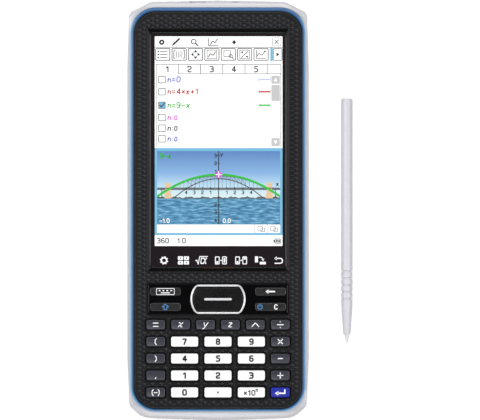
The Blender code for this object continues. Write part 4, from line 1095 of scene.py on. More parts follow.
def display(looks):
    """Everything shown on the display, as thin sheets on the window, grouped by colour."""
    base = WINDOW_HIGH.z

    def sheet(name, shapes, layer, look):
        drawn(name, shapes, base + (layer - 0.5) * SHEET, looks[look],
              thickness=SHEET)

    sheet("screen_base", [pane(0, 0, SCREEN_UNITS, SCREEN_DOWN, 0.4)], 1, "screen")
    sheet("screen_cyan_panes", [pane(57.0, 5.6, 58.2, 12.1), pane(0, 54.6, SCREEN_UNITS, 97.2, 0.3),
                                pane(1.75, 31.95, 5.35, 35.45, 0.2)], 2, "screen_cyan")
    sheet("screen_message_pane", [pane(1.15, 92.0, 61.85, 96.1, 0.3)], 3, "screen")
    sheet("screen_pale_panes", [pane(57.5, 19.2, 61.7, 23.2, 0.5), pane(57.5, 23.8, 61.7, 31.6, 0.4),
                                pane(57.5, 49.7, 61.7, 53.7, 0.5), pane(49.0, 92.0, 49.3, 96.1),
                                pane(55.4, 92.0, 55.7, 96.1), pane(53.2, 98.2, 53.4, 101.8)],
          4, "screen_pale")
    arrows = [polygon([(59.6, 20.3), (60.5, 22.0), (58.7, 22.0)]),
              polygon([(58.7, 51.0), (60.5, 51.0), (59.6, 52.7)])]
    sheet("screen_arrows", arrows, 5, "screen")
    icons = [border(50.7, 92.8, 53.2, 95.2, 0.25, 0.3), border(52.2, 93.6, 54.3, 95.6, 0.25, 0.3),
             border(57.0, 92.8, 59.5, 95.2, 0.25, 0.3), border(58.6, 93.6, 60.7, 95.6, 0.25, 0.3)]
    sheet("screen_grey_lines", tool_frames() + tab_frames() + check_boxes() + icons, 4, "screen_grey")
    tabs = []
    for index in range(TABS):
        tabs += text(str(index + 1), TAB_LEFT + (index + 0.5) * TAB_PITCH, 16.05, 2.6, 0.2, middle=True)
    check = [line([(2.5, 33.6), (3.3, 34.6), (4.7, 32.6)], 0.45)]
    sheet("screen_dark_lines", menu_bar() + tool_icons() + tabs + check + status_bar(), 4,
          "screen_dark")
    for index, (signs, look, middle) in enumerate(zip(ROW_SIGNS, ROW_LOOKS, ROW_MIDDLES)):
        shapes = text(signs, 6.5, middle + 1.1, 2.5, 0.19, 0.08, 0.36)
        if index < 3:
            shapes += style_marks(middle, 0.75 if index else 0.3)
        sheet(f"screen_row_{index + 1}", shapes, 4, look)
    sheet("picture_sky", [pane(*PICTURE, 0.3)], 2.5, "sky")
    water = pane(PICTURE[0], WATER_TOP, PICTURE[2], PICTURE[3], 0.3)
    sheet("picture_water", [water], 3, "water")
    sheet("picture_shore", shore(), 4, "screen_grey")
    sheet("picture_bridge", bridge(), 4, "screen_grey")
    sheet("picture_piers", piers(), 5, "stone")
    sheet("picture_axes", axes(), 6, "screen_dark")
    label = text("9-x", 2.2, 59.6, 2.3, 0.2, 0.25)
    sheet("picture_curve", green_curve() + label, 7, "screen_green")
    tips = [(-1.9, -0.15), (-0.15, -1.9), (0.15, -1.9), (1.9, -0.15), (1.9, 0.15), (0.15, 1.9),
            (-0.15, 1.9), (-1.9, 0.15)]
    diamond = polygon([(MIDDLE + u, CURVE_TOP + v) for u, v in tips])
    sheet("picture_cursor", [diamond], 8, "screen_magenta")
    cross = [line([(MIDDLE - 1.3, CURVE_TOP), (MIDDLE + 1.3, CURVE_TOP)], 0.42),
             line([(MIDDLE, CURVE_TOP - 1.3), (MIDDLE, CURVE_TOP + 1.3)], 0.42)]
    values = text("-1.0", 2.4, 91.0, 1.8, 0.2) + text("0.0", MIDDLE + 2.2, 91.0, 1.8, 0.2)
    sheet("picture_cross", cross + values, 9, "screen")


# ---------------------------------------------------------------- printed icons and legends

def shifted(shapes, x, y):
    """Shapes drawn round the origin in millimetres, moved to a point in metres."""
    offset = Vector((x, y))
    return [tuple([point * MM + offset for point in outline] for outline in shape)
            for shape in shapes]


def gear():
    count = 48
    outline, hole = [], []
    for index in range(count):
        angle = 2 * math.pi * index / count
        radius = 2.05 if (index // 3) % 2 else 1.6
        spoke = Vector((math.cos(angle), math.sin(angle)))
        outline.append(spoke * radius)
        hole.append(spoke * 0.95)
    return [hollow(outline, hole)]


def four_squares():
    return [hollow(rectangle(2.5, 1.8, 0.3, sx * 1.45, sy * 1.1),
                   rectangle(0.7, 0.7, 0.35, sx * 1.45, sy * 1.1))
            for sx in (-1, 1) for sy in (-1, 1)]


def root_sign():
    shapes = [stroke([(-2.9, -0.1), (-2.4, 0.2), (-1.7, -1.8), (-0.9, 1.9), (2.9, 1.9)], 0.42)]
    return shapes + written("a", -0.5, -1.55, 4.0, 0.13, 0.12)


def two_panes():
    shapes = [hollow(rectangle(2.3, 3.9, 0.5, side * 1.75, 0), rectangle(1.4, 3.0, 0.2, side * 1.75, 0))
              for side in (-1, 1)]
    return shapes + [stroke([(-0.95, 0), (0.95, 0)], 0.45)]


def resize_panes():
    return two_panes() + [(rectangle(1.0, 1.0, 0.2, -1.75, -0.9),),
                          (rectangle(0.8, 2.2, 0.2, 1.75, 0),)]


def swap_panes():
    return two_panes() + [(rectangle(1.0, 1.0, 0.2, -1.75, -0.9),),
                          (rectangle(1.0, 1.0, 0.2, 1.75, 0.9),)]


def turn_sign():
    return [(rectangle(1.5, 3.0, 0.2, -1.9, 0.5),), (rectangle(3.0, 1.3, 0.2, 1.2, -1.3),),
            stroke([(-0.6, 1.6), (0.7, 1.5), (1.2, 0.5)], 0.4, 0.6),
            (([Vector((0.5, 0.7)), Vector((1.3, -0.35)), Vector((2.0, 0.8))]),)]


def return_arrow():
    return [stroke([(-1.6, 1.0), (1.9, 1.0), (1.9, -1.4), (-1.7, -1.4)], 0.55, 1.1),
            ([Vector((-2.2, 1.0)), Vector((-0.9, 0.0)), Vector((-0.9, 2.0))],)]


def left_arrow():
    head = [Vector((-2.6, 0)), Vector((-1.0, -1.05)), Vector((-1.0, 1.05))]
    return [stroke([(-1.2, 0), (1.9, 0)], 0.75), (head,)]


def keyboard_sign():
    shapes = [hollow(rectangle(9.0, 3.3, 0.5), rectangle(8.4, 2.7, 0.25))]
    shapes += [(rectangle(0.85, 0.55, 0.1, x, 0.5),) for x in (-2.85, -0.95, 0.95, 2.85)]
    return shapes + [(rectangle(4.4, 0.5, 0.1, 0, -0.6),)]


def shift_sign():
    """Hollow upward arrow."""
    return [stroke([(-1.5, 0.0), (0, 1.35), (1.5, 0.0), (0.7, 0.0), (0.7, -1.25), (-0.7, -1.25), (-0.7, 0.0),
                    (-1.5, 0.0)], 0.45)]


def power_sign():
    steps = 20
    gap = math.radians(38)
    arc = [Matrix.Rotation(gap + (2 * math.pi - 2 * gap) * step / steps, 2) @ Vector((0, 1.1))
           for step in range(steps + 1)]
    return [ribbon(arc, 0.5), stroke([(0, 0.35), (0, 1.45)], 0.5)]


def exponent_sign():
    ten = written("*10", -0.9, -0.2, 2.3, 0.23, middle=True, spacing=0.4)
    return ten + written("n", 2.3, 0.5, 1.7, 0.25)


def execute_sign():
    """Angled return arrow."""
    return [stroke([(2.2, 1.3), (2.2, -0.4), (-1.2, -0.4)], 0.7),
            ([Vector((-2.7, -0.4)), Vector((-1.0, -1.5)), Vector((-1.0, 0.7))],)]


WINDOW_ICONS = (gear, four_squares, root_sign, resize_panes, swap_panes, turn_sign, return_arrow)
ICON_PLACES = (-26.4, -16.9, -8.0, 1.4, 11.3, 20.7, 29.6)
PLAIN_LEGENDS = {"key_equals": "=", "key_x": "x", "key_y": "y", "key_z": "z", "key_power": "^",
                 "key_divide": "/", "key_bracket_open": "(", "key_bracket_close": ")",
                 "key_comma": ",", "key_negative": "(-)", "key_times": "*", "key_minus": "-",
                 "key_plus": "+"}


def window_icons(looks):
    shapes = []
    for icon, x in zip(WINDOW_ICONS, ICON_PLACES):
        shapes += shifted(icon(), x * MM, ICON_ROW_Y)
    drawn("window_icons", shapes, WINDOW_HIGH.z - SHEET / 2, looks["ink_white"], thickness=SHEET)


def legend(node, shapes, look, suffix="legend", x=0.0):
    """Printed sign on a key, which travels with it; x moves it across the key."""
    low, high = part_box(node)
    middle = (low + high) / 2
    placed = shifted(shapes, middle.x + x * MM, middle.y)
    drawn(f"{node}_{suffix}", placed, high.z - LEGEND_THICKNESS / 2, look, node)


def legends(looks):
    for node, signs in PLAIN_LEGENDS.items():
        if signs == "-":
            shapes = [(rectangle(2.6, 0.5, 0.22),)]
        elif signs in "xyz":
            shapes = written(signs, -0.3, 0.6, 3.35, 0.12, 0.25, middle=True, stretch=1.05)
        elif signs in "=^/*+":
            shapes = written(signs, 0, 0.35, 4.4, 0.105, middle=True)
        else:
            shapes = written(signs, 0, 0.1, 2.5, 0.17, 0, 0.16, middle=True)
        legend(node, shapes, looks["ink_white"])
    for digit in range(10):
        shapes = written(str(digit), 0, 0, 2.5, 0.31, middle=True, stretch=1.02)
        legend(f"key_{digit}", shapes, looks["ink_dark"])
    legend("key_point", [(rectangle(0.95, 0.95, 0.4),)], looks["ink_dark"])
    legend("key_exponent", exponent_sign(), looks["ink_dark"])
    legend("key_execute", execute_sign(), looks["ink_white"])
    legend("key_keyboard", keyboard_sign(), looks["ink_white"])
    legend("key_shift", shift_sign(), looks["ink_blue"])
    legend("key_backspace", left_arrow(), looks["ink_white"])
    legend("key_clear", power_sign(), looks["ink_blue"], "power_sign", -5.2)
    legend("key_clear", written("C", 2.6, 0, 2.1, 0.22, middle=True), looks["ink_white"])


# ---------------------------------------------------------------- shells

def rear_shell(looks):
    """Silver tub with rounded edges, cell bay, stylus channel, screw seats and ports."""
    rim = band_outline(RIM_LEDGE)
    widest = silhouette(0)
    inner = front_outline(GAP)
    belly_z = RIM_Z - BELLY_DROP
    rings = []
    steps = 10
    for step in range(steps + 1):
        height = 1 - (1 - step / steps) ** 2 if step else 0.0
        share = (1 - (1 - height) ** BACK_POWER) ** (1 / BACK_POWER)
        rings.append(level(silhouette(BACK_INSET * (1 - share)), belly_z * height))
    for step in range(1, steps + 1):
        height = step / steps
        share = 1 - (1 - height ** SHOULDER_POWER) ** (1 / SHOULDER_POWER)
        rings.append(level(blended(widest, rim, share), belly_z + BELLY_DROP * height))
    rings += [level(inner, RIM_Z), level(inner, FLOOR)]
    shell = link("rear_shell", lofted("rear_shell", [rings]))
    added = (bay_plinth(), bay_walls(), channel_walls(), screw_pads())
    cut = (cover_recess(), bay_cavity(), channel_cavity(), screw_holes(), port_openings(), thumb_notch())
    carved(shell, added, cut)
    dress(shell, looks["silver"], stands_for=("rear_case",))


def bay_box():
    """Inside of the cell bay, from the contacts that stand at its ends."""
    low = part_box("contact_link_left")[0]
    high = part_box("contact_start")[1]
    cell_low, cell_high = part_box("battery_1")
    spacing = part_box("battery_2")[0].x - cell_high.x
    half = -cell_low.x + spacing / 2
    return Vector((-half, low.y - GAP, 0)), Vector((half, high.y + GAP, cell_high.z + GAP))


def bay_plinth():
    half = COVER_HIGH.x + PLINTH_LAP
    low = Vector((-half, FRONT_LOW.y + GAP, 0))
    high = Vector((half, COVER_HIGH.y + PLINTH_LAP, 0))
    return lofted("bay_plinth", [prism(box_outline(low, high), FLOOR / 2, PLINTH_HEIGHT)])


def bay_walls():
    low, high = bay_box()
    roof = (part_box("main_board")[0].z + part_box("main_board")[1].z) / 2
    top = min(high.z + BAY_WALL / 2, roof)
    return lofted("bay_walls", [prism(box_outline(low, high, grow=BAY_WALL), FLOOR / 2, top)])


def bay_cavity():
    low, high = bay_box()
    return lofted("bay_cavity", [prism(box_outline(low, high), -OVERCUT, high.z)])


def cover_recess():
    """Dovetailed bed of the battery cover, open at the lower end."""
    low = Vector((-(COVER_HIGH.x - COVER_DOVETAIL) - GAP, -HALF_LENGTH - OVERCUT, 0))
    high = Vector((-low.x, COVER_HIGH.y + GAP, 0))
    wide_low = low - Vector((COVER_DOVETAIL, 0, 0))
    wide_high = high + Vector((COVER_DOVETAIL, 0, 0))
    outer = box_outline(low, high)
    inner = box_outline(wide_low, wide_high)
    rings = [level(outer, -OVERCUT), level(outer, 0), level(inner, COVER_HIGH.z),
             level(inner, COVER_HIGH.z + GAP)]
    return lofted("cover_recess", [rings])


def thumb_notch():
    """Shallow dish beside the cover's upper edge."""
    rings = []
    for step in range(NOTCH_STEPS + 1):
        share = step / NOTCH_STEPS
        narrowed = 1 - 0.5 * share
        outline = rectangle(NOTCH_WIDTH * (1 - 0.35 * share), NOTCH_LENGTH * narrowed,
                            NOTCH_CORNER * narrowed, 0, COVER_HIGH.y + NOTCH_UP)
        sunk = (OVERCUT / 2 + NOTCH_DEPTH) * math.sin(share * math.pi / 2)
        rings.append(level(outline, sunk - OVERCUT / 2))
    return lofted("thumb_notch", [rings])


def channel_box():
    """Room for the stylus in the back, along the right side."""
    stylus_low, stylus_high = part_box("stylus")
    width = stylus_high.x - stylus_low.x + 2 * GAP
    length = stylus_high.y - stylus_low.y + CHANNEL_SPARE
    x = HALF_WIDTH - CHANNEL_FROM_SIDE
    y = HALF_LENGTH - CHANNEL_FROM_TOP - length / 2
    return (Vector((x - width / 2, y - length / 2, 0)), Vector((x + width / 2, y + length / 2, width)))


def channel_walls():
    low, high = channel_box()
    low = low - Vector((CHANNEL_WALL, 2 * CHANNEL_WALL, 0))
    high = high + Vector((CHANNEL_WALL, 0, 0))
    return lofted("channel_walls", [prism(box_outline(low, high), FLOOR / 2, high.z + CHANNEL_WALL)])


def channel_cavity():
    low, high = channel_box()
    return lofted("channel_cavity", [prism(box_outline(low, high, CHANNEL_CORNER), -OVERCUT, high.z)])


def middle_of(node):
    low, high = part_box(node)
    return (low + high) / 2


def circle_at(node, radius):
    middle = middle_of(node)
    return circle(radius, middle.x, middle.y)


def screw_pads():
    return lofted("screw_pads", [prism(circle_at(node, SCREW_PAD_RADIUS), FLOOR / 2, SCREW_PAD_HEIGHT)
                                 for node in SCREWS])


def screw_holes():
    """Stepped holes for the screws and a plain one for the restart button."""
    holes = []
    for node in SCREWS:
        low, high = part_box(node)
        head = circle_at(node, (high.x - low.x) / 2 + GAP)
        shank = circle_at(node, SCREW_SHANK_RADIUS + GAP)
        holes.append([level(head, -OVERCUT), level(head, SCREW_SEAT), level(shank, SCREW_SEAT),
                      level(shank, SCREW_PAD_HEIGHT + OVERCUT)])
    hole = circle_at("restart_button", RESTART_RADIUS + GAP)
    holes.append(prism(hole, -OVERCUT, FLOOR + OVERCUT))
    return lofted("screw_holes", holes)


def port_openings():
    shapes = []
    low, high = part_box("usb_socket")
    shapes.append(rectangle(high.x - low.x + 2 * GAP, high.z - low.z + 2 * GAP, GAP,
                            (low.x + high.x) / 2, (low.z + high.z) / 2, ROUND_STEPS // 4 - 1))
    low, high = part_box("data_jack")
    shapes.append(circle((high.x - low.x) / 2 + GAP, (low.x + high.x) / 2, (low.z + high.z) / 2))
    return lofted("port_openings", [[upright(shape, HALF_LENGTH + OVERCUT),
                                     upright(shape, FRONT_HIGH.y - OVERCUT)] for shape in shapes])


def front_shell(looks):
    """Black front with a rounded edge, the window's sloped surround and all its openings."""
    outer = front_outline()
    inner = front_outline(-SKIRT)
    skirt_z = RIM_Z - SKIRT_LAP
    rings = [level(inner, PLATE_Z), level(inner, skirt_z), level(outer, skirt_z)]
    rings += [level(front_outline(-inset), FACE_Z - drop)
              for inset, drop in edge_arc(FACE_ROUND, FACE_DROP)]
    shell = link("front_shell", lofted("front_shell", [rings]))
    carved(shell, (screw_bosses(),), (window_cut(), panel_pocket(), plate_holes(), boss_holes()))
    dress(shell, (looks["black"], looks["painted_light_wall"], looks["painted_shade_black"]), stands_for=("front_case",))
    # Sloped surround faces: those facing the sides get the painted-light grey, those facing the ends the
    # painted-shade black
    for face in shell.data.polygons:
        sloped = 0.2 < face.normal.z < 0.95 and face.center.z > WINDOW_HIGH.z
        if sloped and depth(face.center.xy, *WINDOW_SIZE, 0, 0, WINDOW_Y) < SURROUND_REACH:
            face.material_index = 1 if abs(face.normal.x) > abs(face.normal.y) else 2


def screw_bosses():
    return lofted("screw_bosses", [prism(circle_at(node, BOSS_RADIUS), SCREW_PAD_HEIGHT + GAP,
                                         PLATE_Z + PLATE / 2) for node in SCREWS])


def boss_holes():
    return lofted("boss_holes", [prism(circle_at(node, SCREW_SHANK_RADIUS + GAP),
                                       SCREW_PAD_HEIGHT - OVERCUT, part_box(node)[1].z + 2 * GAP)
                                 for node in SCREWS])


def window_cut():
    opening = box_outline(WINDOW_LOW, WINDOW_HIGH, WINDOW_CORNER + GAP, GAP)
    mouth = box_outline(WINDOW_LOW, WINDOW_HIGH, WINDOW_CORNER + GAP, GAP + RECESS_SLOPE)
    rings = [level(opening, PLATE_Z - OVERCUT), level(opening, WINDOW_HIGH.z), level(mouth, FACE_Z),
             level(mouth, FACE_Z + OVERCUT)]
    return lofted("window_cut", [rings])


def panel_pocket():
    outline = box_outline(PANEL_LOW, PANEL_HIGH, PANEL_CORNER + GAP, GAP)
    return lofted("panel_pocket", [prism(outline, PANEL_LOW.z - GAP, FACE_Z + OVERCUT)])


def key_size(node):
    """Middle, width and length of a key's cap; its tabs reach past it at both ends."""
    low, high = BOXES[node]
    tab = KEY_CLEAR + KEY_TAB
    return (low + high) / 2, high.x - low.x, high.y - low.y - 2 * tab


def key_hole(node, low, high):
    middle, width, length = key_size(node)
    return prism(rectangle(width + 2 * KEY_CLEAR, length + 2 * KEY_CLEAR, KEY_CORNER + KEY_CLEAR,
                           middle.x, middle.y), low, high)


def key_and_cursor_holes(nodes, low, high):
    holes = [key_hole(node, low, high) for node in nodes]
    return holes + [prism(cursor_outline(CURSOR_STROKE + GAP - CURSOR_CLEAR), low, high)]


def plate_holes():
    holes = key_and_cursor_holes(PAD_KEYS + FUNCTION_KEYS, PLATE_Z - OVERCUT, FACE_Z + OVERCUT)
    return lofted("plate_holes", holes)


def trim_band(looks):
    """Domed blue ring between the shells."""
    outer = band_outline()
    inner = front_outline(GAP)
    rings = [level(inner, BAND_LOW.z), level(outer, BAND_LOW.z)]
    for step in range(BAND_STEPS + 1):
        height = step / BAND_STEPS
        share = 1 - (1 - height ** BAND_POWER) ** (1 / BAND_POWER)
        z = BAND_LOW.z + BAND_FOOT + (BAND_HIGH.z - BAND_LOW.z - BAND_FOOT) * height
        rings.append(level(blended(outer, inner, min(share, 0.999)), z))
    place("trim_band", lofted("trim_band", [rings], True), looks["trim"],
          stands_for=("accent_band",))


def relief_tile(outline):
    """Little peaked tile raised from the face."""
    centre = sum(outline, Vector((0, 0))) / len(outline)
    crest = [point.lerp(centre, RELIEF_CREST) for point in outline]
    return [level(outline, FACE_Z - RELIEF_RISE / 2), level(outline, FACE_Z),
            level(crest, FACE_Z + RELIEF_RISE)]


def face_free(point):
    """Whether a point of the front face carries the relief."""
    span_y = FRONT_HIGH.y - FRONT_LOW.y
    centre_y = (FRONT_HIGH.y + FRONT_LOW.y) / 2
    if depth(point, 2 * FACE_HALF, span_y, FRONT_CORNER, 0, centre_y) > -FACE_ROUND:
        return False
    if depth(point, *WINDOW_SIZE, WINDOW_CORNER, 0, WINDOW_Y) < GAP + RECESS_SLOPE + RELIEF_MARGIN:
        return False
    if depth(point, *PANEL_SIZE, PANEL_CORNER, 0, PANEL_Y) < RELIEF_MARGIN + GAP:
        return False
    for node in PAD_KEYS:
        middle, width, length = key_size(node)
        if depth(point, width, length, KEY_CORNER, middle.x, middle.y) < KEY_CLEAR + KEY_HALO:
            return False
    return True


def relief(looks):
    """Staggered rows of small peaked tiles moulded on the front face."""
    tiles = []
    rows = int((FRONT_HIGH.y - FRONT_LOW.y) / RELIEF_ROW)
    columns = int(2 * FACE_HALF / RELIEF_PITCH) + 1
    for row in range(rows):
        for column in range(columns):
            x = (column - columns / 2 + 0.5 * (row % 2)) * RELIEF_PITCH
            peak = Vector((x, FRONT_LOW.y + row * RELIEF_ROW))
            for shape in (RELIEF_TILE, RELIEF_CAP, RELIEF_HALF, [(-x, y) for x, y in RELIEF_HALF]):
                outline = [peak + Vector(point) * MM for point in shape]
                if all(face_free(point) for point in outline[::2]):
                    tiles.append(relief_tile(outline))
                    break
    place("face_relief", lofted("face_relief", tiles), looks["relief"])


def key_wells(looks):
    """Painted shade: a thin near-black ring on the face round each key hole."""
    rings = []
    for node in PAD_KEYS:
        middle, width, length = key_size(node)
        outlines = [rectangle(width + 2 * grow, length + 2 * grow, KEY_CORNER + grow, middle.x,
                              middle.y) for grow in (KEY_CLEAR + KEY_HALO, KEY_CLEAR)]
        rings.append(hollow(*outlines))
    drawn("key_wells", rings, FACE_Z - SHEET / 2, looks["painted_shade_black"],
          thickness=SHEET)


def soft_plate(name, low, high, corner, edge):
    """Plate that fills a box, with a rounded upper edge."""
    rings = [level(box_outline(low, high, corner), low.z)]
    for inset, drop in edge_arc(edge):
        rings.append(level(box_outline(low, high, corner - inset, -inset), high.z - drop))
    return lofted(name, [rings])


def window(looks):
    """Dark-bordered window with softened edges."""
    mesh = soft_plate("window_glass", WINDOW_LOW, WINDOW_HIGH, WINDOW_CORNER, WINDOW_EDGE)
    place("window_glass", mesh, looks["glass"], stands_for=("touch_window",))


def panel(looks):
    """Glossy function panel with openings, and a thin raised pale strip along each side edge as a painted
    highlight.
    """
    mesh = soft_plate("gloss_panel", PANEL_LOW, PANEL_HIGH, PANEL_CORNER, PANEL_EDGE)
    plate = link("gloss_panel", mesh)
    holes = key_and_cursor_holes(FUNCTION_KEYS, PANEL_LOW.z - OVERCUT, PANEL_HIGH.z + OVERCUT)
    carved(plate, cut=(lofted("panel_holes", holes),))
    dress(plate, looks["panel"], stands_for=("function_panel",))
    # pale strips on the side edges: painted highlight of the glossy edge
    length = PANEL_HIGH.y - PANEL_LOW.y - 2 * PANEL_CORNER
    lines = [(rectangle(PANEL_LINE, length, 0.00017, side * (PANEL_HIGH.x - 0.0003), PANEL_Y),)
             for side in (-1, 1)]
    drawn("panel_edges", lines, PANEL_HIGH.z - PANEL_EDGE, looks["panel_edge"],
          thickness=2 * PANEL_EDGE)


# ---------------------------------------------------------------- keys and cursor

def key_cap(node, look, slot, chin):
    """Cap with tabs, rounded edges and a slope along its lower edge."""
    middle, width, length = key_size(node)
    low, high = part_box(node)
    tabs = rectangle(width, high.y - low.y, KEY_CORNER, middle.x, middle.y)
    flange_top = low.z + KEY_FLANGE_HEIGHT
    rings = [level(tabs, low.z), level(tabs, flange_top)]
    edge = KEY_EDGE
    if slot == "white_key":
        width -= 2 * WHITE_KEY_INSET
        length -= 3.5 * WHITE_KEY_INSET
        edge = KEY_EDGE / 2
    rings.append(level(rectangle(width, length, KEY_CORNER, middle.x, middle.y), flange_top))
    for inset, drop in edge_arc(edge):
        rings.append(level(rectangle(width - 2 * inset, length - 2 * inset, KEY_CORNER - inset * 0.8,
                                     middle.x, middle.y), high.z - drop))
    chin_y = middle.y - length / 2 + chin
    mesh = lofted(node + "_cap", [rings])
    if chin:
        for vertex in mesh.vertices:
            below = (chin_y - vertex.co.y) / chin
            above = (vertex.co.z - FACE_Z) / (high.z - FACE_Z)
            if below > 0 and above > 0:
                vertex.co.z -= KEY_CHIN_DROP * min(1.0, below) * min(1.0, above)
    place(node + "_cap", mesh, look, node, (node,))


def keys(looks):
    for node in DARK_KEYS:
        key_cap(node, looks["dark_key"], "dark_key", KEY_CHIN)
    for node in WHITE_KEYS:
        key_cap(node, looks["white_key"], "white_key", 0.0)
    key_cap("key_execute", looks["blue_key"], "blue_key", KEY_CHIN)
    for node in FUNCTION_KEYS:
        key_cap(node, looks["function_key"], "gloss_panel", 0.0)


def cursor(looks):
    """Chrome ring, black pad with four marks, and a silver bar."""
    rings = []
    for step in range(RING_STEPS):
        angle = 2 * math.pi * step / RING_STEPS
        inset = RING_ROUND * CURSOR_STROKE * (1 - math.cos(angle))
        z = (RING_LOW.z + RING_HIGH.z) / 2 + (RING_HIGH.z - RING_LOW.z) / 2 * math.sin(angle)
        rings.append(level(cursor_outline(inset), z))
    place("cursor_frame", lofted("cursor_frame", [rings], True), looks["chrome"], "cursor",
          ("cursor_ring",))
    low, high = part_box("cursor_pad")
    flange = cursor_outline(CURSOR_STROKE + GAP - PAD_FLANGE_REACH)
    rings = [level(flange, low.z), level(flange, low.z + PAD_FLANGE),
             level(cursor_outline(CURSOR_STROKE + GAP), low.z + PAD_FLANGE)]
    rings += [level(cursor_outline(CURSOR_STROKE + GAP + inset), high.z - drop)
              for inset, drop in edge_arc(PAD_EDGE)]
    place("cursor_plate", lofted("cursor_plate", [rings]), looks["pad"], "cursor", ("cursor_pad",))
    rings = []
    for inset, drop in edge_arc(BAR_EDGE, PAD_EDGE):
        outline = rectangle(BAR_WIDTH - 2 * inset, BAR_LENGTH - 2 * inset, BAR_LENGTH / 2 - inset,
                            0, PANEL_Y)
        rings.append(level(outline, high.z + BAR_RISE - drop))
    place("cursor_bar", lofted("cursor_bar", [rings]), looks["bar"], "cursor")
    marks = []
    for turn, reach in enumerate((MARK_X, MARK_Y, MARK_X, MARK_Y)):
        corners = [Matrix.Rotation(turn * math.pi / 2, 2) @ Vector((reach + out, across))
                   for out, across in MARK_POINTS]
        marks.append(([corner + Vector((0, PANEL_Y)) for corner in corners],))
    drawn("cursor_marks", marks, high.z - LEGEND_THICKNESS / 2, looks["mark"], "cursor")


# ---------------------------------------------------------------- stylus, cells, screws and back

def lay_down(mesh, start, direction):
    """Turn a mesh made along Z to lie along Y from its start."""
    mesh.transform(Matrix.Rotation(-direction * math.pi / 2, 4, "X"))
    mesh.transform(Matrix.Translation(start))
    return mesh


def stylus(looks):
    """Barrel with a grooved grip, a tapering nose and a pale tip."""
    low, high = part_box("stylus")
    radius = (high.x - low.x) / 2
    length = high.y - low.y
    start = Vector(((low.x + high.x) / 2, low.y, low.z + radius))
    profile = [(0, length)]
    profile += [(radius - drop, length - inset) for inset, drop in edge_arc(STYLUS_EDGE)]
    for index in reversed(range(GRIP_GROOVES)):
        z = GRIP_START + GROOVE_FIRST + index * GROOVE_PITCH
        for step in range(GROOVE_STEPS + 1):
            angle = math.pi * step / GROOVE_STEPS
            profile.append((radius - GROOVE_DEPTH * math.sin(angle), z + GROOVE_HALF * math.cos(angle)))
    for step in range(NOSE_STEPS + 1):
        share = step / NOSE_STEPS
        profile.append((radius - (radius - NECK_RADIUS) * share ** NOSE_POWER,
                        GRIP_START - (GRIP_START - NECK_START) * share))
    profile += [(NECK_HOLE, NECK_START - EASE), (0, NECK_START - EASE)]
    mesh = lay_down(turned("stylus_barrel", profile), start, 1)
    place("stylus_barrel", mesh, looks["stylus"], "stylus", ("stylus",))
    tip = [(0, NECK_START), (TIP_RADIUS, NECK_START), (TIP_RADIUS - EASE, NECK_START * 0.6)]
    tip += [(TIP_ROUND - inset + EASE, drop) for inset, drop in edge_arc(TIP_ROUND, steps=6)[1:]]
    tip.append((0, 0))
    place("stylus_tip", lay_down(turned("stylus_tip", tip, 24), start, 1), looks["tip"], "stylus")


def cells(looks):
    """Four cells with a nub, rolled ends and a coloured shoulder."""
    for index in range(1, 5):
        node = f"battery_{index}"
        low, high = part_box(node)
        radius = (high.x - low.x) / 2
        length = high.y - low.y
        direction = 1 if index % 2 else -1
        start = Vector(((low.x + high.x) / 2, low.y if direction == 1 else high.y, low.z + radius))
        top = length - CELL_RIM
        shoulder = top - CELL_SHOULDER
        arc = edge_arc(CELL_EDGE, steps=4)[1:]
        rim = radius - CELL_EDGE
        can = [(0, length), (NUB_RADIUS - NUB_EDGE, length), (NUB_RADIUS, length - NUB_EDGE),
               (NUB_RADIUS, top), (rim - 0.0006, top - EASE), (rim, top)]
        can += [(radius - drop, top - inset) for inset, drop in arc]
        can += [(radius, shoulder + EASE), (radius - EASE, shoulder), (0, shoulder)]
        mesh = lay_down(turned(node + "_shoulder", can), start, direction)
        place(node + "_shoulder", mesh, looks["shoulder"])
        sleeve = [(0, shoulder), (radius - EASE, shoulder), (radius, shoulder - EASE),
                  (radius, CELL_EDGE)]
        sleeve += [(radius - inset, drop) for inset, drop in arc]
        sleeve += [(0, 0)]
        mesh = lay_down(turned(node + "_sleeve", sleeve), start, direction)
        place(node + "_sleeve", mesh, looks["sleeve"], stands_for=(node,))


def cover(looks):
    """Battery cover with a grip of fine ridges and an arrow."""
    low_half = COVER_HIGH.x - COVER_DOVETAIL
    span = COVER_HIGH.y - COVER_LOW.y
    centre = (COVER_LOW.y + COVER_HIGH.y) / 2
    outer = rectangle(2 * low_half, span, COVER_CORNER, 0, centre)
    inner = rectangle(2 * COVER_HIGH.x, span, COVER_CORNER, 0, centre)
    eased = rectangle(2 * (low_half - COVER_EASE), span - 2 * COVER_EASE, COVER_CORNER, 0, centre)
    rings = [level(eased, 0), level(outer, COVER_EASE), level(inner, COVER_HIGH.z)]
    lid = link("cover_lid", lofted("cover_lid", [rings]))
    section = ((-COVER_GROOVE_HALF, 0), (COVER_GROOVE_HALF, 0), (0, COVER_GROOVE_DEPTH))
    grooves = []
    for index in range(COVER_GROOVES):
        y = COVER_HIGH.y - COVER_GROOVE_FIRST - index * COVER_GROOVE_PITCH
        grooves.append([[Vector((side * COVER_GROOVE_REACH, y + along, up - EASE / 2))
                         for along, up in section] for side in (-1, 1)])
    arrow = [Vector((x, COVER_HIGH.y - COVER_ARROW_DOWN + y))
             for x, y in ((0.0022, 0.0012), (0, -0.0012), (-0.0022, 0.0012))]
    carved(lid, cut=(lofted("cover_grooves", grooves + [prism(arrow, -0.0005, 0.0003)]),))
    dress(lid, looks["silver"], "battery_cover", ("battery_cover",))


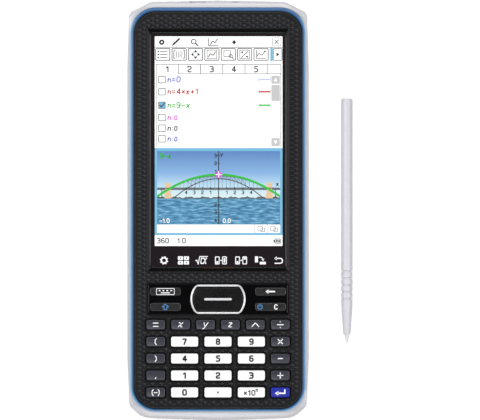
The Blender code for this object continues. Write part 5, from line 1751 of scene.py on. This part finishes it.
def screws(looks):
    for node in SCREWS:
        low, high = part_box(node)
        middle = (low + high) / 2
        radius = (high.x - low.x) / 2
        head = low.z + SCREW_HEAD
        profile = [(0, high.z), (SCREW_SHANK_RADIUS * 0.6, high.z),
                   (SCREW_SHANK_RADIUS, high.z - SCREW_POINT), (SCREW_SHANK_RADIUS, head), (radius, head)]
        profile += [(radius - inset, low.z + drop)
                    for inset, drop in edge_arc(SCREW_DOME * radius, SCREW_HEAD)[1:]]
        profile.append((0, low.z))
        mesh = turned(node + "_fine", profile)
        mesh.transform(Matrix.Translation((middle.x, middle.y, 0)))
        screw = link(node + "_fine", mesh)
        slots = []
        for turn in (0, math.pi / 2):
            rings = []
            for length, width, z in ((0.0022, 0.0005, low.z - GAP), (0.0012, 0.0004, low.z + 0.0008)):
                outline = [Matrix.Rotation(turn, 2) @ point + middle.xy
                           for point in rectangle(length, width, EASE)]
                rings.append(level(outline, z))
            slots.append(lofted(f"slot_{turn:.0f}", [rings]))
        carved(screw, cut=slots)
        dress(screw, looks["steel"], stands_for=(node,))


def restart(looks):
    low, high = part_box("restart_button")
    middle = (low + high) / 2
    flange_z = FLOOR + GAP
    flange_top = flange_z + RESTART_FLANGE
    profile = [(0, high.z), (RESTART_STEM_RADIUS, high.z), (RESTART_STEM_RADIUS, flange_top),
               (RESTART_FLANGE_RADIUS, flange_top), (RESTART_FLANGE_RADIUS, flange_z),
               (RESTART_RADIUS, flange_z), (RESTART_RADIUS, low.z + RESTART_EDGE)]
    profile += [(RESTART_RADIUS - inset, low.z + drop)
                for inset, drop in edge_arc(RESTART_EDGE, steps=3)[1:]]
    profile += [(0.0004, low.z + EASE), (0, low.z + 1.5 * EASE)]
    mesh = turned("restart_plunger", profile)
    mesh.transform(Matrix.Translation((middle.x, middle.y, 0)))
    place("restart_plunger", mesh, looks["rubber"], "restart_button", ("restart_button",))


def ports(looks):
    """Tongue with contacts in the socket, and a lip and sleeve in the round jack."""
    low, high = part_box("usb_socket")
    x = (low.x + high.x) / 2
    z = (low.z + high.z) / 2
    tongue = rectangle(0.0048, 0.0008, 0.0001, x, z + 0.0004, 2)
    mesh = lofted("socket_tongue", [[upright(tongue, high.y - 0.0010),
                                     upright(tongue, high.y - SOCKET_DEPTH)]])
    place("socket_tongue", mesh, looks["rubber"])
    strips = [rectangle(0.0004, 0.00015, 0, x + offset * 0.00085, z - 0.00006, 1)
              for offset in range(-2, 3)]
    mesh = lofted("socket_contacts", [[upright(strip, high.y - 0.0012), upright(strip, high.y - 0.0068)]
                                      for strip in strips])
    place("socket_contacts", mesh, looks["brass"])
    low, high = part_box("data_jack")
    x = (low.x + high.x) / 2
    z = (low.z + high.z) / 2
    outer = circle(0.00128, x, z)
    inner = circle(0.0011, x, z)
    deep = high.y - SOCKET_DEPTH
    lip = high.y - JACK_LIP
    rings = [upright(inner, deep), upright(outer, deep), upright(outer, lip), upright(inner, lip)]
    place("jack_sleeve", lofted("jack_sleeve", [rings], True), looks["brass"])


def carried_over(looks):
    """Materials for the pieces that show as they are in the solid model."""
    kept = {"lcd_module": "module", "main_board": "board", "keypad_sheet": "rubber",
            "lcd_flex_cable": "cable", "cursor_pivot": "rubber", "usb_socket": "steel",
            "data_jack": "black", "contact_start": "steel", "contact_link_left": "steel",
            "contact_link_middle": "steel", "contact_link_right": "steel", "contact_end": "steel"}
    for node, look in kept.items():
        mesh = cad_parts[node].data
        mesh.materials.clear()
        mesh.materials.append(looks[look])


# ---------------------------------------------------------------- studio

def floor():
    mesh = lofted("floor", [prism(rectangle(6.0, 6.0), -0.02, -0.0001)])
    obj = link("floor", mesh)
    finish = Finish("floor", 0.9, specular=0.1)
    finish.mottled((0.93, 0.93, 0.93), 0.005, 3.0).glowing((1.0, 1.0, 1.0), 0.35)
    mesh.materials.append(finish.material)
    obj.visible_diffuse = False


LIGHT_SIZE = 0.7
LIGHTS = {"light_left": ((-0.85, 0.2, 1.2), 10.4), "light_right": ((0.85, -0.1, 1.2), 8.6),
          "light_far": ((0.1, 0.9, 1.2), 6.0), "light_near": ((-0.1, -0.9, 1.2), 4.8)}


def area_light(name, where, power):
    """Round soft light that faces the object's middle."""
    data = bpy.data.lights.new(name, "AREA")
    data.shape = "DISK"
    data.size = LIGHT_SIZE
    data.energy = power
    lamp = bpy.data.objects.new(name, data)
    lamp.location = where
    lamp.rotation_euler = (-Vector(where)).to_track_quat("-Z", "Y").to_euler()
    bpy.context.scene.collection.objects.link(lamp)


def studio():
    """Soft lights round the object, none straight above, and a pale surround that darkens upwards."""
    for name, (where, power) in LIGHTS.items():
        area_light(name, where, power)
    world = bpy.data.worlds.new("surround")
    bpy.context.scene.world = world
    world.use_nodes = True
    tree = world.node_tree
    background = tree.nodes["Background"]
    coordinates = tree.nodes.new("ShaderNodeTexCoord").outputs["Generated"]
    split = tree.nodes.new("ShaderNodeSeparateXYZ")
    ramp = tree.nodes.new("ShaderNodeValToRGB")
    ramp.color_ramp.elements[0].position = 0.15
    ramp.color_ramp.elements[0].color = (0.35, 0.35, 0.36, 1)
    ramp.color_ramp.elements[1].position = 0.85
    ramp.color_ramp.elements[1].color = (0.03, 0.03, 0.03, 1)
    tree.links.new(coordinates, split.inputs["Vector"])
    tree.links.new(split.outputs["Z"], ramp.inputs["Fac"])
    tree.links.new(ramp.outputs["Color"], background.inputs["Color"])
    background.inputs["Strength"].default_value = 1.0
    bpy.context.scene.view_settings.view_transform = "Standard"


CAMERA_X = 0.01075
CAMERA_Y = 0.0003
VIEW_WIDTH = 0.2345
LENS = 400.0
SENSOR = 36.0


def camera():
    """Long lens straight above the middle of the calculator and its stylus."""
    data = bpy.data.cameras.new("camera")
    data.lens = LENS
    data.sensor_width = SENSOR
    data.clip_start = 0.05
    data.clip_end = 20.0
    obj = bpy.data.objects.new("camera", data)
    obj.location = (CAMERA_X, CAMERA_Y, FACE_Z + VIEW_WIDTH * LENS / SENSOR)
    bpy.context.scene.collection.objects.link(obj)
    bpy.context.scene.camera = obj


PARTS = (rear_shell, front_shell, trim_band, relief, key_wells, window, panel, keys, cursor, legends,
         window_icons, display, stylus, cells, cover, screws, restart, ports, carried_over)


def build():
    camera()
    studio()
    looks = make_looks()
    floor()
    for part in PARTS:
        part(looks)


build()
